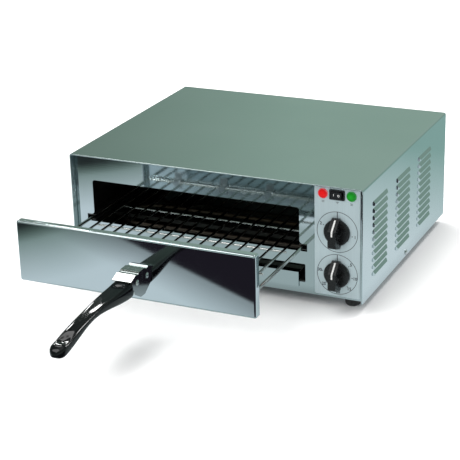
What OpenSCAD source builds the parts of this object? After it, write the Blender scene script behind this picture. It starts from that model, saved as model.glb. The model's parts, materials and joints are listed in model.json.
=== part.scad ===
// Countertop pizza oven: a folded steel case with a wire rack that pulls out on a
// front panel with a pan handle, a crumb tray under it and a control strip at the right.
//
// Millimetres. X points to the oven's right, Y into the oven from its front, Z up.
// Places in the oven are measured from the wrap's lower front edge, at its middle;
// placed() then moves them to the row's origin, under the middle of the whole outline.

/* [Case] */
// Outside width of the wrap
case_w = 470; // [430:1:520]
// Depth of the wrap, from its front edge to its back edge
case_d = 393; // [355:1:440]
// Height of the wrap, without the feet
case_h = 173; // [156:1:195]
// Thickness of the case and cavity sheets
sheet = 1; // [0.8:0.1:1.2]
// Outside radius of the wrap's folds
fold_r = 3.5; // [2:0.5:5]
// Width of the hem turned back inside the wrap's front edge
hem_w = 7; // [4:0.5:8]
// Width of the flanges turned in at the wrap's bottom and back
flange_w = 11; // [9:0.5:13]
// Height of the base pan's upturned edge
pan_edge_h = 14; // [13:0.5:15]
// How far the face plate stands behind the wrap's front edge
face_setback = 10; // [9.5:0.5:13]

/* [Feet] */
// Height of a rubber foot
foot_h = 16; // [12:0.5:22]
// Diameter of a foot at its top
foot_d = 25; // [20:0.5:28]
// Diameter of a foot at the surface it stands on
foot_bottom_d = 22; // [16:0.5:24]
// Distance of a foot's middle from the wrap's side
foot_inset_x = 25; // [24:1:40]
// Distance of a foot's middle from the wrap's front or back edge
foot_inset_y = 30; // [28:1:50]

/* [Louvres] */
// Columns of louvres in the right wall
louvre_columns = 3; // [1:1:3]
// Louvres in each column
louvre_rows = 11; // [4:1:12]
// Length of a louvre
louvre_l = 58; // [40:1:70]
// Height of a louvre's hood
louvre_h = 7.2; // [5:0.2:8]
// How far a hood stands out of the wall
louvre_out = 3; // [2:0.2:4]
// Radius of the curve at each end of a hood
louvre_end_r = 3.6; // [2:0.2:5]
// Step from one louvre to the one above it
louvre_step = 10.8; // [10:0.1:11.5]
// Step from one column to the next
column_step = 104; // [90:1:112]
// Distance of the first column from the wrap's front edge
louvre_front = 44; // [36:1:60]
// Height of the lowest louvre above the wrap's lower edge
louvre_bottom = 27; // [20:1:32]

/* [Cavity] */
// Space between the cavity and the wrap's left side
cavity_gap = 17; // [14:0.5:22]
// Width of the control bay, from the cavity to the wrap's right side
bay_w = 85; // [84:0.5:92]
// Space between the cavity's back and the wrap's rear edge
rear_gap = 41; // [38:0.5:50]
// Space between the cavity's ceiling and the wrap's top
ceiling_gap = 33; // [25:0.5:35]
// Outside radius of the cavity liner's folds
liner_fold_r = 4; // [2:0.5:6]
// Width of the liner's feet on the base pan
liner_foot_w = 8; // [6:0.5:10]
// Distance of the heat shield from the cavity liner
shield_gap = 11; // [10.5:0.5:13]
// Space between the heat shield and the wrap's top
shield_top_gap = 21; // [12:1:40]

/* [Face openings] */
// How far a side of the oven's mouth stands in from the cavity's wall
mouth_inset = 15; // [14:0.5:20]
// Height of the mouth's lower edge
mouth_bottom = 64.8; // [63:0.2:65]
// How far the mouth's upper edge hangs below the cavity's ceiling
mouth_drop = 8.5; // [6:0.5:12]
// Corner radius at the top of the mouth
mouth_r = 4; // [2:0.5:8]
// How far each runner gap widens the foot of the mouth
runner_gap_w = 12; // [11:0.5:14]
// Height of the runner gaps
runner_gap_h = 11.4; // [11:0.2:14]
// Radius of the corner above a runner gap
runner_gap_r = 5; // [2:0.5:7]
// How far an end of the crumb tray's slot stands in from the cavity's wall
slot_inset = 6; // [5:0.5:11]
// Height of the slot's lower edge
slot_bottom = 17; // [16:0.5:17.5]
// Height of the slot's upper edge
slot_top = 45; // [40:0.5:50]

/* [Rack drawer] */
// How far the drawer stands pulled out
drawer_pull = 182.7; // [120:0.1:200]
// How far the front panel laps over each side of the mouth
panel_lap = 15; // [14:0.5:16]
// How far the front panel laps over the mouth's upper edge
panel_lap_top = 2.5; // [2:0.5:6]
// Height of the panel's lower edge above the wrap's lower edge
panel_bottom = 43; // [40:0.5:44]
// How far the panel sits right of the cavity's middle
panel_shift = 2; // [0:0.5:3]
// Depth of the panel's folded edges
panel_return = 12; // [11:0.5:20]
// Thickness of the panel's sheet
panel_sheet = 1.2; // [1:0.1:1.5]
// Outside radius of the panel's front folds
panel_fold_r = 3; // [2:0.5:5]
// Distance of a side rail's middle from the cavity's wall
rail_inset = 11; // [10.5:0.1:11.5]
// Space between the rack and the cavity's back, when it is pushed in
rack_rear_gap = 3.9; // [3:0.1:30]
// Height of the rack's wires above the wrap's lower edge
rack_z = 70.5; // [70:0.1:70.8]
// Diameter of the rails and of the front and rear wires
rail_d = 5; // [4:0.2:5.4]
// Diameter of the rack's inner wires
wire_d = 3.5; // [3:0.1:4]
// Inner wires between the two rails
wire_count = 16; // [8:1:18]
// Diameter of the bars under the wires
bar_d = 3.5; // [3:0.1:3.8]
// Bars under the wires
bar_count = 3; // [2:1:4]
// Radius of the bends at the rack's rear corners
rack_corner_r = 12; // [8:1:20]
// Depth of a weld between two wires
weld_depth = 0.15; // [0.1:0.05:0.3]
// Width of a clip between rack and panel
clip_w = 12; // [8:1:14]

/* [Handle] */
// Width of the handle's bracket
bracket_w = 29; // [26:0.5:34]
// Thickness of the bracket's sheet
bracket_sheet = 1.6; // [1.2:0.1:2]
// How far the bracket's top reaches from the panel
bracket_reach = 32; // [30:0.5:40]
// Height of the bracket's top above the panel's lower edge
bracket_top = 46.5; // [45:0.5:48]
// Length of the grip from the panel to its tip
grip_reach = 213; // [180:1:240]
// Height of the grip's upper edge at the bracket, above the panel's lower edge
grip_top = 38; // [36:0.5:39]
// Fall of the grip from the bracket to its tip
grip_fall = 20; // [12:1:24]
// Width of the grip at the bracket
grip_w = 30.5; // [27:0.5:32]
// Width of the grip at its waist
waist_w = 21.5; // [17:0.5:24]
// Width of the grip near its end
end_w = 23.5; // [22:0.5:30]
// Height of the grip at the bracket
grip_h = 24; // [18:0.5:26]
// Height of the grip at its waist
waist_h = 9.5; // [9:0.5:15]
// Height of the grip near its end
end_h = 15.5; // [13:0.5:20]
// Depth of the channel along the grip's top, at the bracket
channel_depth = 3.2; // [1:0.2:3.6]
// Depth of the long dimple near the grip's end
dimple_depth = 3.4; // [1:0.2:4]
// Diameter of the cross rivet
rivet_d = 5; // [4:0.2:6]

/* [Crumb tray] */
// Space between a side of the tray and the cavity's wall
tray_side_gap = 16; // [14:0.5:24]
// Space between the tray and the cavity's back
tray_rear_gap = 6; // [3:0.5:40]
// Height of the tray's side walls
tray_h = 12; // [8:0.5:14]
// Height of the tray's floor above the wrap's lower edge
tray_z = 19; // [18.8:0.1:19.6]
// Height of the tray's front plate
tray_front_h = 23; // [20:0.5:24]
// Height of the front plate's lower edge
tray_front_z = 9; // [6:0.5:10]
// Gap between the front plate and the face plate
tray_front_gap = 1; // [0.6:0.1:1.5]

/* [Heating] */
// Diameter of a heating element's tube
element_d = 6.4; // [5.6:0.2:7]
// Distance of the upper element below the cavity's ceiling
element_drop = 13; // [11:0.5:16]
// Height of the lower element
lower_element_z = 49; // [48:0.5:51]
// Distance of an element's first run from the face plate
element_front = 50; // [44:1:60]
// Distance of an element's last run from the cavity's back
element_rear = 45; // [40:1:60]
// Clear space between an element's bends and the cavity's walls
element_margin = 24; // [18:1:40]
// Thickness of an element's support plates
support_sheet = 1.5; // [1:0.1:2]

/* [Controls] */
// Distance of the control strip's middle from the wrap's right side
strip_inset = 41.5; // [40:0.5:42]
// Width of the control strip
strip_w = 69; // [62:0.5:70]
// Thickness of the control strip
strip_t = 0.8; // [0.5:0.1:1]
// Space above and below the control strip
strip_margin = 3; // [2:0.5:5]
// Distance of the upper dial below the lamps
upper_dial_drop = 56.3; // [54:0.1:58]
// Height of the lower dial
lower_dial_z = 37; // [35:0.5:38]
// Diameter of a knob's skirt
knob_d = 39; // [34:0.5:42]
// Height of a knob from its back to the top of its bar
knob_h = 23; // [20:0.5:26]
// Thickness of a knob's skirt
skirt_h = 5.5; // [5:0.5:7]
// Length of a knob's bar across the skirt
knob_bar_l = 45; // [42:0.5:48]
// Width of a knob's bar
knob_bar_w = 12; // [10:0.5:14]
// Diameter of a dial shaft
shaft_d = 6; // [5:0.1:6.4]
// Distance of the lamps and the switch below the wrap's top
lamp_drop = 14.7; // [14:0.1:16]
// Distance of each lamp from the strip's middle
lamp_offset = 21.4; // [20.6:0.2:22]
// Diameter of a lamp's lens
lamp_d = 15; // [12:0.5:15.5]
// Width of the switch's bezel
switch_w = 23; // [22.5:0.5:24]
// Height of the switch's bezel
switch_h = 15; // [14.5:0.5:16]
// Width of the rocker
rocker_w = 16; // [14:0.5:16.5]
// Height of the rocker
rocker_h = 9.6; // [8:0.2:9.8]
// Tilt of the rocker to either side
rocker_tilt = 8; // [5:1:8]

/* [Rear panel] */
// Space between the rear panel's edge and the wrap's side
rear_margin = 8; // [6:0.5:8.5]
// Vent slots in each group of the rear panel
vent_rows = 5; // [3:1:6]
// Length of a vent slot
vent_l = 42; // [30:1:50]
// Height of a vent slot
vent_h = 4; // [3:0.5:5]
// Step from one vent slot to the next
vent_step = 9; // [8:0.5:10]
// Distance of the cord inlet from the wrap's right side
inlet_inset = 47; // [40:1:55]
// Height of the cord inlet
inlet_z = 36; // [30:1:45]
// Diameter of the cord inlet's bore
inlet_bore_d = 8; // [7:0.5:9]

/* [Hidden] */
$fn = 48;
// Gap between fixed sheets that would otherwise share a curved surface
seat = 0.2;
// Gap between a sliding piece and what it runs on
slide_gap = 0.3;
// Radial gap of a shaft in its bearing
bearing_gap = 0.05;
// Amount by which a cutting solid passes the face it cuts
over = 1;

// Case, derived
inner_w = case_w - 2 * sheet;
face_y = face_setback;
face_back_y = face_y + sheet;
face_flange_w = 10;
pan_floor_z = 2 * sheet;
pan_top_z = sheet + pan_edge_h;
rear_y = case_d - sheet;
foot_x = case_w / 2 - foot_inset_x;
foot_rear_y = case_d - foot_inset_y;
louvre_wall = 0.8;
screw_d = 4;
screw_head_d = 8;
screw_head_h = 2.4;
side_screw_y = case_d / 2;
side_screw_z = sheet + pan_edge_h / 3;

// Cavity, derived
back_foot_inset = 46;
cavity_left = -case_w / 2 + cavity_gap;
cavity_right = case_w / 2 - bay_w;
cavity_w = cavity_right - cavity_left;
cavity_x = (cavity_left + cavity_right) / 2;
liner_rear_y = case_d - rear_gap;
cavity_d = liner_rear_y - face_back_y;
ceiling_z = case_h - ceiling_gap;
shield_x = cavity_right + sheet + shield_gap;
shield_h = case_h - pan_floor_z - shield_top_gap;

// Face openings, derived
mouth_w = cavity_w - 2 * mouth_inset;
mouth_top = ceiling_z - mouth_drop;
slot_w = cavity_w - 2 * slot_inset;

// Rack drawer, derived: the panel's front plane as it stands pulled out
panel_w = mouth_w + 2 * panel_lap;
panel_h = mouth_top + panel_lap_top - panel_bottom;
panel_x = cavity_x + panel_shift;
panel_y = face_y - slide_gap - panel_return - drawer_pull;
panel_inner_y = panel_y + panel_sheet;
clip_plate_t = 1.2;
clip_reach = 9;
clip_below = 12;
clip_above = 16;
clip_wall = 1.5;
rack_front_y = panel_inner_y + clip_plate_t + rail_d / 2 + 2;
rack_rear_y = liner_rear_y - drawer_pull - rack_rear_gap - rail_d / 2;
rack_l = rack_rear_y - rack_front_y;
rack_w = cavity_w - 2 * rail_inset;
// How far a straight rod reaches into its bend
rod_lap = 0.01;
wire_pitch = rack_w / (wire_count + 1);
bar_z = rack_z - wire_d / 2 - bar_d / 2 + weld_depth;

// Runners for the rack: a channel of two flanges and a web on each cavity wall
runner_web_h = rail_d + 2 * sheet + 2 * slide_gap + 0.8;
runner_bottom = rack_z - rail_d / 2 - slide_gap - sheet;
runner_flange_w = (cavity_w - rack_w) / 2 + rail_d;
runner_l = cavity_d - 6;

// Crumb tray, derived
tray_front_y = face_y - tray_front_gap - sheet;
tray_w = cavity_w - 2 * tray_side_gap;
tray_l = liner_rear_y - tray_rear_gap - tray_front_y;
ledge_top = tray_z - slide_gap;
ledge_w = (cavity_w - tray_w) / 2 + 8;

// Heating, derived
element_r = element_d / 2;
upper_element_z = ceiling_z - element_drop;
element_step = (cavity_d - element_front - element_rear) / 3;
element_left = cavity_left + element_margin + element_step / 2;
element_turn_x = cavity_right - element_margin - element_step / 2;
element_y = face_back_y + element_front;
element_exit_x = shield_x + sheet + 12;
capillary_r = 1;
bulb_r = 3;
bulb_setback = 26;
bulb_drop = 8;
bulb_y = face_back_y + bulb_setback;
bulb_z = ceiling_z - bulb_drop;
bulb_l = 90;
bulb_clip_h = 4.2;
bulb_end_gap = 20;
capillary_shift = 6;
thermostat_half_h = 15;
thermostat_half_w = 18;
thermostat_l = 26;
timer_r = 21;
timer_l = 25.5;
control_plate_t = 1.5;
control_plate_lap = 4;
shaft_socket = 14;

// Controls, derived
strip_x = case_w / 2 - strip_inset;
lamp_z = case_h - lamp_drop;
upper_dial_z = lamp_z - upper_dial_drop;
strip_front_y = face_y - strip_t;
knob_back_y = strip_front_y - 0.5;
bushing_wall = 2;
bushing_r = shaft_d / 2 + bushing_wall;
nut_t = 2.5;
nut_wall = 3;
pointer_w = 2.4;
pointer_t = 0.8;
lamp_body_d = 11;
lens_rim = 1.4;
lens_rise = 2.6;
switch_body_w = switch_w - 2;
switch_body_h = switch_h - 2;
switch_depth = 21;
rocker_pivot_y = strip_front_y + 1.5;
trunnion_r = 1.2;

// Handle, derived
handle_x = panel_x;
handle_top = panel_bottom + bracket_top;
grip_start = bracket_reach - 4;
bracket_slope = 6.5;
bracket_foot = 8;
rivet_reach = 14;
rivet_z = panel_bottom + grip_top - 5.5;
grip_waist_at = 0.55;
grip_rings = 44;
ring_points = 28;
squareness = 0.58;

// Cord inlet and rear panel, derived
rear_face_y = case_d + sheet;
inlet_x = case_w / 2 - inlet_inset;
inlet_flange_t = 5;
outline_front_y = panel_y - grip_reach;
outline_rear_y = rear_face_y + inlet_flange_t;
outline_left_x = -case_w / 2 - screw_head_h;
outline_right_x = case_w / 2 + max(louvre_out, screw_head_h);

// Row origin, seen from the wrap's lower front edge
row_x = -(outline_left_x + outline_right_x) / 2;
row_y = -(outline_front_y + outline_rear_y) / 2;
row_z = foot_h - sheet;

// ---- Placing and extruding ----

// Moves what is drawn in the oven's own places to the row's origin
module placed() {
    translate([row_x, row_y, row_z]) children();
}

// Extrudes a shape drawn in X and Z along Y
module along_y(y, length) {
    translate([0, y + length, 0]) rotate([90, 0, 0]) linear_extrude(length) children();
}

// Extrudes a shape drawn in Y and Z along X
module along_x(x, length) {
    translate([x, 0, 0]) rotate([90, 0, 90]) linear_extrude(length) children();
}

// A round bar or hole along Y from y to y + length
module rod_y(x, y, z, r, length) {
    translate([x, y + length, z]) rotate([90, 0, 0]) cylinder(r = r, h = length);
}

// A round bar or hole along X from x to x + length
module rod_x(x, y, z, r, length) {
    translate([x, y, z]) rotate([0, 90, 0]) cylinder(r = r, h = length);
}

// A box between two corners
module box(low, high) {
    translate(low) cube(high - low);
}

// Draws the children for the right side, or mirrored in the cavity's middle for the left
module cavity_side(side) {
    if (side > 0) children();
    else translate([2 * cavity_x, 0, 0]) mirror([1, 0, 0]) children();
}

// ---- Flat shapes ----

// A rectangle on the line y = bottom with its two upper corners rounded
module arched(width, top, r, bottom = 0) {
    translate([-width / 2, bottom]) square([width, top - r - bottom]);
    translate([-width / 2 + r, bottom]) square([width - 2 * r, top - bottom]);
    for (side = [-1, 1]) translate([side * (width / 2 - r), top - r]) circle(r);
}

// A rectangle about the origin with four rounded corners
module rounded_rect(width, height, r) {
    square([width - 2 * r, height], center = true);
    square([width, height - 2 * r], center = true);
    for (x = [-1, 1], y = [-1, 1]) {
        translate([x * (width / 2 - r), y * (height / 2 - r)]) circle(r);
    }
}

// A slot with round ends about the origin
module obround(length, height) {
    square([length - height, height], center = true);
    for (end = [-1, 1]) translate([end * (length - height) / 2, 0]) circle(height / 2);
}

// ---- Case ----

// Hood of a louvre in X and Z: x from the wall's inner face, z from the louvre's lower edge
module louvre_hood(inset) {
    out = sheet + louvre_out - inset;
    polygon([
        [inset > 0 ? -over : 0, louvre_h - inset], [sheet - inset, louvre_h - inset],
        [out, louvre_h * 0.3 - inset], [out, inset > 0 ? -over : 0],
        [inset > 0 ? -over : 0, inset > 0 ? -over : 0]
    ]);
}

// One hood, its two ends curving back into the wall
module louvre(inset) {
    out = sheet + louvre_out - inset;
    r = louvre_end_r - inset;
    length = louvre_l - 2 * inset;
    intersection() {
        along_y(inset, length) louvre_hood(inset);
        translate([0, inset, -2 * over]) linear_extrude(louvre_h + 3 * over) {
            translate([-2 * over, 0]) square([out - r + 2 * over, length]);
            translate([-2 * over, r]) square([out + 2 * over, length - 2 * r]);
            for (y = [r, length - r]) translate([out - r, y]) circle(r);
        }
    }
}

// Draws the children at each louvre's place in the right wall
module louvre_places() {
    for (column = [0 : louvre_columns - 1], row = [0 : louvre_rows - 1]) {
        translate([inner_w / 2, louvre_front + column * column_step, louvre_bottom + row * louvre_step])
            children();
    }
}

// Round front edge of the wrap, where the sheet is folded back on itself
module hem_fold() translate([0, sheet, 0]) {
    for (side = [-1, 1]) {
        translate([side * (case_w / 2 - sheet), 0, 0]) cylinder(r = sheet, h = case_h - fold_r);
        translate([side * (case_w / 2 - fold_r), 0, case_h - fold_r]) rotate([90, side > 0 ? 0 : -90, 0])
            rotate_extrude(angle = 90) translate([fold_r - sheet, 0]) circle(sheet);
    }
    rod_x(-case_w / 2 + fold_r, 0, case_h - sheet, sheet, case_w - 2 * fold_r);
}

module outer_wrap() color("#a9b8b4") placed() difference() {
    union() {
        hem_fold();
        difference() {
            along_y(sheet, case_d - sheet) arched(case_w, case_h, fold_r);
            along_y(-over, hem_w + 2 * over)
                arched(inner_w - 2 * sheet, case_h - 2 * sheet, fold_r - 1.5 * sheet, -over);
            along_y(hem_w, rear_y - hem_w)
                arched(inner_w, case_h - sheet, fold_r - sheet, -over);
            along_y(rear_y - over, sheet + 2 * over)
                arched(inner_w - 2 * flange_w, case_h - sheet - flange_w, fold_r, -over);
        }
        for (side = [-1, 1]) {
            translate([side > 0 ? inner_w / 2 - flange_w : -case_w / 2, face_back_y + sheet, 0])
                cube([flange_w + sheet, case_d - face_back_y - sheet, sheet]);
        }
        louvre_places() louvre(0);
    }
    louvre_places() louvre(louvre_wall);
    for (side = [-1, 1]) {
        rod_x(side * case_w / 2 - 2 * sheet, side_screw_y, side_screw_z, screw_d / 2 + bearing_gap,
            4 * sheet);
    }
    rear_screw_places() rod_y(0, rear_y - over, 0, screw_d / 2 + bearing_gap, 2 * over + sheet);
}

// Middles of the feet
module foot_places() {
    for (x = [-foot_x, foot_x], y = [foot_inset_y, foot_rear_y]) translate([x, y, 0]) children();
}

module base_pan() color("#b9bdbd") placed() difference() {
    box([-inner_w / 2, face_back_y, sheet], [inner_w / 2, rear_y, pan_top_z]);
    box([-inner_w / 2 + sheet, face_back_y + sheet, pan_floor_z],
        [inner_w / 2 - sheet, rear_y - sheet, pan_top_z + over]);
    foot_places() cylinder(r = screw_d / 2 + bearing_gap, h = 4 * sheet);
    for (side = [-1, 1]) {
        rod_x(side * inner_w / 2 - 2 * sheet, side_screw_y, side_screw_z, screw_d / 2 + bearing_gap,
            4 * sheet);
    }
    for (row = [0 : vent_rows]) {
        translate([strip_x, case_d / 2 + row * vent_step, 0])
            linear_extrude(4 * sheet) obround(vent_l, vent_h);
    }
}

// Rubber foot: a taper with a rounded lower rim and a well for its screw
module foot(x, y) {
    translate([x, y, sheet]) mirror([0, 0, 1]) difference() {
        rotate_extrude() {
            polygon([
                [0, 0], [foot_d / 2, 0], [foot_bottom_d / 2, foot_h - 2],
                [foot_bottom_d / 2 - 2, foot_h], [0, foot_h]
            ]);
        }
        translate([0, 0, -over]) cylinder(r = screw_d / 2 + bearing_gap, h = foot_h + 2 * over);
        translate([0, 0, foot_h / 2]) cylinder(r = screw_head_d / 2 + seat, h = foot_h);
    }
}

module foot_front_left() color("#1c1c1e") placed() foot(-foot_x, foot_inset_y);
module foot_front_right() color("#1c1c1e") placed() foot(foot_x, foot_inset_y);
module foot_rear_left() color("#1c1c1e") placed() foot(-foot_x, foot_rear_y);
module foot_rear_right() color("#1c1c1e") placed() foot(foot_x, foot_rear_y);

// Screws up through the feet, each with its nut on the base pan
module foot_screws() color("#8d9092") placed() foot_places() {
    translate([0, 0, sheet - foot_h / 2]) {
        cylinder(r = screw_d / 2, h = foot_h / 2 + sheet + 4);
        translate([0, 0, -screw_head_h]) cylinder(r = screw_head_d / 2, h = screw_head_h);
    }
    translate([0, 0, pan_floor_z]) cylinder(r = screw_d, h = 3, $fn = 6);
}

// A round dome of the given rise on a straight rim, its base on z = 0
module dome(r, rim, rise) {
    ball_r = (r * r + rise * rise) / (2 * rise);
    rotate_extrude() {
        square([r, rim]);
        intersection() {
            translate([0, rim + rise - ball_r]) circle(ball_r, $fn = 96);
            translate([0, rim]) square([r, rise]);
        }
    }
}

// A domed screw head on the face it holds, with its shank going in along +Y
module screw_in(shank) {
    rod_y(0, 0, 0, screw_d / 2, shank);
    rotate([90, 0, 0]) dome(screw_head_d / 2, screw_head_h / 3, screw_head_h * 2 / 3);
}

module side_screws() color("#8d9092") placed() for (side = [-1, 1]) {
    translate([side * case_w / 2, side_screw_y, side_screw_z]) rotate([0, 0, side * 90])
        screw_in(4);
}

// Places of the rear panel's screws, on the wrap's back flange
module rear_screw_places() {
    x = case_w / 2 - sheet - flange_w / 2;
    for (side = [-1, 1], z = [24, case_h / 2, case_h - sheet - flange_w / 2]) {
        translate([side * (x - 0.5), 0, z - 0.5]) children();
    }
}

module rear_screws() color("#8d9092") placed() rear_screw_places()
    translate([0, rear_face_y, 0]) rotate([0, 0, 180]) screw_in(5);

module rear_panel() color("#a7abac") placed() difference() {
    along_y(case_d, sheet) translate([0, case_h / 2])
        rounded_rect(case_w - 2 * rear_margin + 8, case_h - 6, 3);
    rear_screw_places() rod_y(0, case_d - over, 0, screw_d / 2 + bearing_gap, 4 * sheet);
    rod_y(inlet_x, case_d - over, inlet_z, inlet_bore_d / 2 + 3, 4 * sheet);
    for (group = [-1.5 : 1 : 1.5], row = [0 : vent_rows - 1]) {
        along_y(case_d - over, 4 * sheet)
            translate([group * 1.45 * vent_l, case_h - 36 - row * vent_step]) obround(vent_l, vent_h);
    }
}

// Bush in the rear panel that the mains cord enters through
module cord_inlet() color("#222325") placed() translate([inlet_x, 0, inlet_z]) difference() {
    union() {
        rod_y(0, rear_face_y, 0, inlet_bore_d / 2 + 5, inlet_flange_t);
        rod_y(0, case_d - 8, 0, inlet_bore_d / 2 + 3 - seat, 8 + sheet);
        rod_y(0, case_d - 5, 0, inlet_bore_d / 2 + 6, 5);
    }
    rod_y(0, case_d - 10, 0, inlet_bore_d / 2, 10 + sheet + inlet_flange_t + over);
}

// ---- Face ----

// Mouth of the oven with its two runner gaps
module mouth_shape() {
    gap_top = mouth_bottom + runner_gap_h;
    translate([cavity_x, 0]) {
        arched(mouth_w, mouth_top, mouth_r, mouth_bottom);
        translate([-mouth_w / 2 - runner_gap_w, mouth_bottom])
            square([mouth_w + 2 * runner_gap_w, runner_gap_h]);
        for (side = [-1, 1]) scale([side, 1]) translate([mouth_w / 2, gap_top]) difference() {
            translate([-over, -over]) square(runner_gap_r + over);
            translate([runner_gap_r, runner_gap_r]) circle(runner_gap_r);
        }
    }
}

// Holes that the controls need in the face plate and the strip
module control_holes() {
    for (z = [upper_dial_z, lower_dial_z]) translate([strip_x, z]) circle(bushing_r + bearing_gap);
    for (side = [-1, 1]) translate([strip_x + side * lamp_offset, lamp_z])
        circle(lamp_body_d / 2 + bearing_gap);
    translate([strip_x, lamp_z]) square([switch_body_w + seat, switch_body_h + seat], center = true);
}

module front_face() color("#9fb0ad") placed() {
    difference() {
        along_y(face_y, sheet) difference() {
            arched(inner_w - seat, case_h - sheet, fold_r - sheet);
            mouth_shape();
            translate([cavity_x, (slot_bottom + slot_top) / 2])
                rounded_rect(slot_w, slot_top - slot_bottom, 1.5);
            control_holes();
        }
    }
    for (side = [-1, 1]) {
        translate([side * (inner_w - seat - sheet) / 2 - sheet / 2, face_y, pan_top_z + sheet])
            cube([sheet, sheet + face_flange_w, case_h - pan_top_z - fold_r - 4 * sheet]);
    }
}

module control_strip() color("#b9c9cd") placed() along_y(strip_front_y, strip_t) difference() {
    translate([strip_x, (case_h - sheet) / 2])
        rounded_rect(strip_w, case_h - sheet - 2 * strip_margin, 2);
    control_holes();
}

// ---- Cavity ----

module cavity_liner() color("#6d6f70") placed() difference() {
    union() {
        translate([cavity_x, 0, 0]) difference() {
            along_y(face_back_y, cavity_d)
                arched(cavity_w + 2 * sheet, ceiling_z + sheet, liner_fold_r, pan_floor_z);
            along_y(face_back_y - over, cavity_d + 2 * over)
                arched(cavity_w, ceiling_z, liner_fold_r - sheet, 0);
        }
        for (side = [-1, 1]) {
            wall = cavity_x + side * (cavity_w / 2 + sheet);
            translate([side > 0 ? wall - sheet : wall - liner_foot_w, face_back_y + sheet, pan_floor_z])
                cube([liner_foot_w + sheet, cavity_d - sheet, sheet]);
        }
    }
    box([-inner_w / 2, face_back_y - over, 0], [inner_w / 2, face_back_y + sheet, pan_top_z]);
    element_ends() rod_x(cavity_right - over, 0, 0, element_r + seat, 4 * sheet);
    rod_x(cavity_right - over, bulb_y, bulb_z, capillary_r + seat, 4 * sheet);
}

module cavity_back() color("#6d6f70") placed() {
    along_y(liner_rear_y, sheet) translate([cavity_x, 0])
        arched(cavity_w + 2 * sheet, ceiling_z + sheet, liner_fold_r, pan_floor_z);
    translate([cavity_left + back_foot_inset, liner_rear_y, pan_floor_z])
        cube([cavity_w - 2 * back_foot_inset, liner_foot_w + sheet, sheet]);
}

// Sheet between the cavity and the control bay, standing on a foot of its own
module heat_shield() color("#a5a8a8") placed() difference() {
    along_y(face_back_y + sheet + 10, cavity_d) translate([shield_x, pan_floor_z]) {
        square([sheet, shield_h]);
        square([liner_foot_w, sheet]);
    }
    element_ends() rod_x(shield_x - over, 0, 0, element_r + 4, 4 * sheet);
    rod_x(shield_x - over, bulb_y, bulb_z, capillary_r + 3, 4 * sheet);
}

// Channel that a side rail of the rack slides in
module rack_runner() {
    along_y(face_back_y + seat, runner_l) difference() {
        translate([cavity_right - runner_flange_w, runner_bottom])
            square([runner_flange_w, runner_web_h]);
        translate([cavity_right - runner_flange_w - over, runner_bottom + sheet])
            square([runner_flange_w + over - sheet, runner_web_h - 2 * sheet]);
    }
}

module rack_runner_left() color("#87898a") placed() cavity_side(-1) rack_runner();
module rack_runner_right() color("#87898a") placed() cavity_side(1) rack_runner();

// Angle that an edge of the crumb tray slides on
module tray_ledge() {
    along_y(face_back_y + seat, cavity_d - 4) {
        translate([cavity_right - ledge_w, ledge_top - sheet]) square([ledge_w, sheet]);
        translate([cavity_right - sheet, ledge_top - sheet]) square([sheet, tray_h]);
    }
}

module tray_ledge_left() color("#87898a") placed() cavity_side(-1) tray_ledge();
module tray_ledge_right() color("#87898a") placed() cavity_side(1) tray_ledge();

// ---- Heating ----

// Draws the children at the two places where an element leaves the cavity, for both elements
module element_ends() {
    for (z = [upper_element_z, lower_element_z], run = [0, 3]) {
        translate([0, element_y + run * element_step, z]) children();
    }
}

// Half-turn of tube between two runs, open towards +X
module element_turn(x, y, side) {
    translate([x, y + element_step / 2, 0]) rotate([0, 0, side > 0 ? -90 : 90])
        rotate_extrude(angle = 180) translate([element_step / 2, 0]) circle(element_r);
}

// Tube bent into four runs, with both ends through the cavity's right wall
module element(z) {
    translate([0, 0, z]) {
        for (run = [0, 3]) {
            rod_x(element_left, element_y + run * element_step, 0, element_r,
                element_exit_x - element_left);
            rod_x(element_exit_x, element_y + run * element_step, 0, 1.5, 8);
            rod_x(cavity_right + sheet, element_y + run * element_step, 0, element_r + 3, 2);
        }
        for (run = [1, 2]) {
            rod_x(element_left, element_y + run * element_step, 0, element_r,
                element_turn_x - element_left);
        }
        for (run = [0, 2]) element_turn(element_left, element_y + run * element_step, -1);
        element_turn(element_turn_x, element_y + element_step, 1);
    }
}

module upper_element() color("#4b4744") placed() element(upper_element_z);
module lower_element() color("#4b4744") placed() element(lower_element_z);

// Plates that hang from the ceiling, drilled for the four runs
module upper_element_supports() color("#8b8d8e") placed() for (part = [0.15, 0.75]) {
    x = element_left + part * (element_turn_x - element_left);
    bottom = upper_element_z - element_r - 2.5;
    difference() {
        box([x, element_y - 10, bottom], [x + support_sheet, element_y + 3 * element_step + 10, ceiling_z]);
        for (run = [0 : 3]) {
            rod_x(x - over, element_y + run * element_step, upper_element_z, element_r + seat,
                support_sheet + 2 * over);
        }
    }
}

// Angles across the cavity that the lower element lies on
module lower_element_supports() color("#8b8d8e") placed() for (run = [0.5, 2.5]) {
    top = lower_element_z - element_r - seat;
    y = element_y + run * element_step;
    box([cavity_left, y, top - sheet], [cavity_right, y + 9, top]);
    box([cavity_left, y, top - 6], [cavity_right, y + sheet, top]);
}

// ---- Controls ----

module thermostat() color("#c9c6bd") placed() difference() {
    union() {
        box([strip_x - thermostat_half_w - control_plate_lap, face_back_y,
                upper_dial_z - thermostat_half_h],
            [strip_x + thermostat_half_w + control_plate_lap, face_back_y + control_plate_t,
                upper_dial_z + thermostat_half_h]);
        box([strip_x - thermostat_half_w, face_back_y + control_plate_t / 2,
                upper_dial_z - thermostat_half_h],
            [strip_x + thermostat_half_w, face_back_y + thermostat_l,
                upper_dial_z + thermostat_half_h]);
        rod_y(strip_x, strip_front_y - nut_t - 0.3, upper_dial_z, bushing_r,
            face_back_y - strip_front_y + nut_t + 0.6);
    }
    rod_y(strip_x, strip_front_y - nut_t - over, upper_dial_z, shaft_d / 2 + bearing_gap,
        shaft_socket);
}

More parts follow.
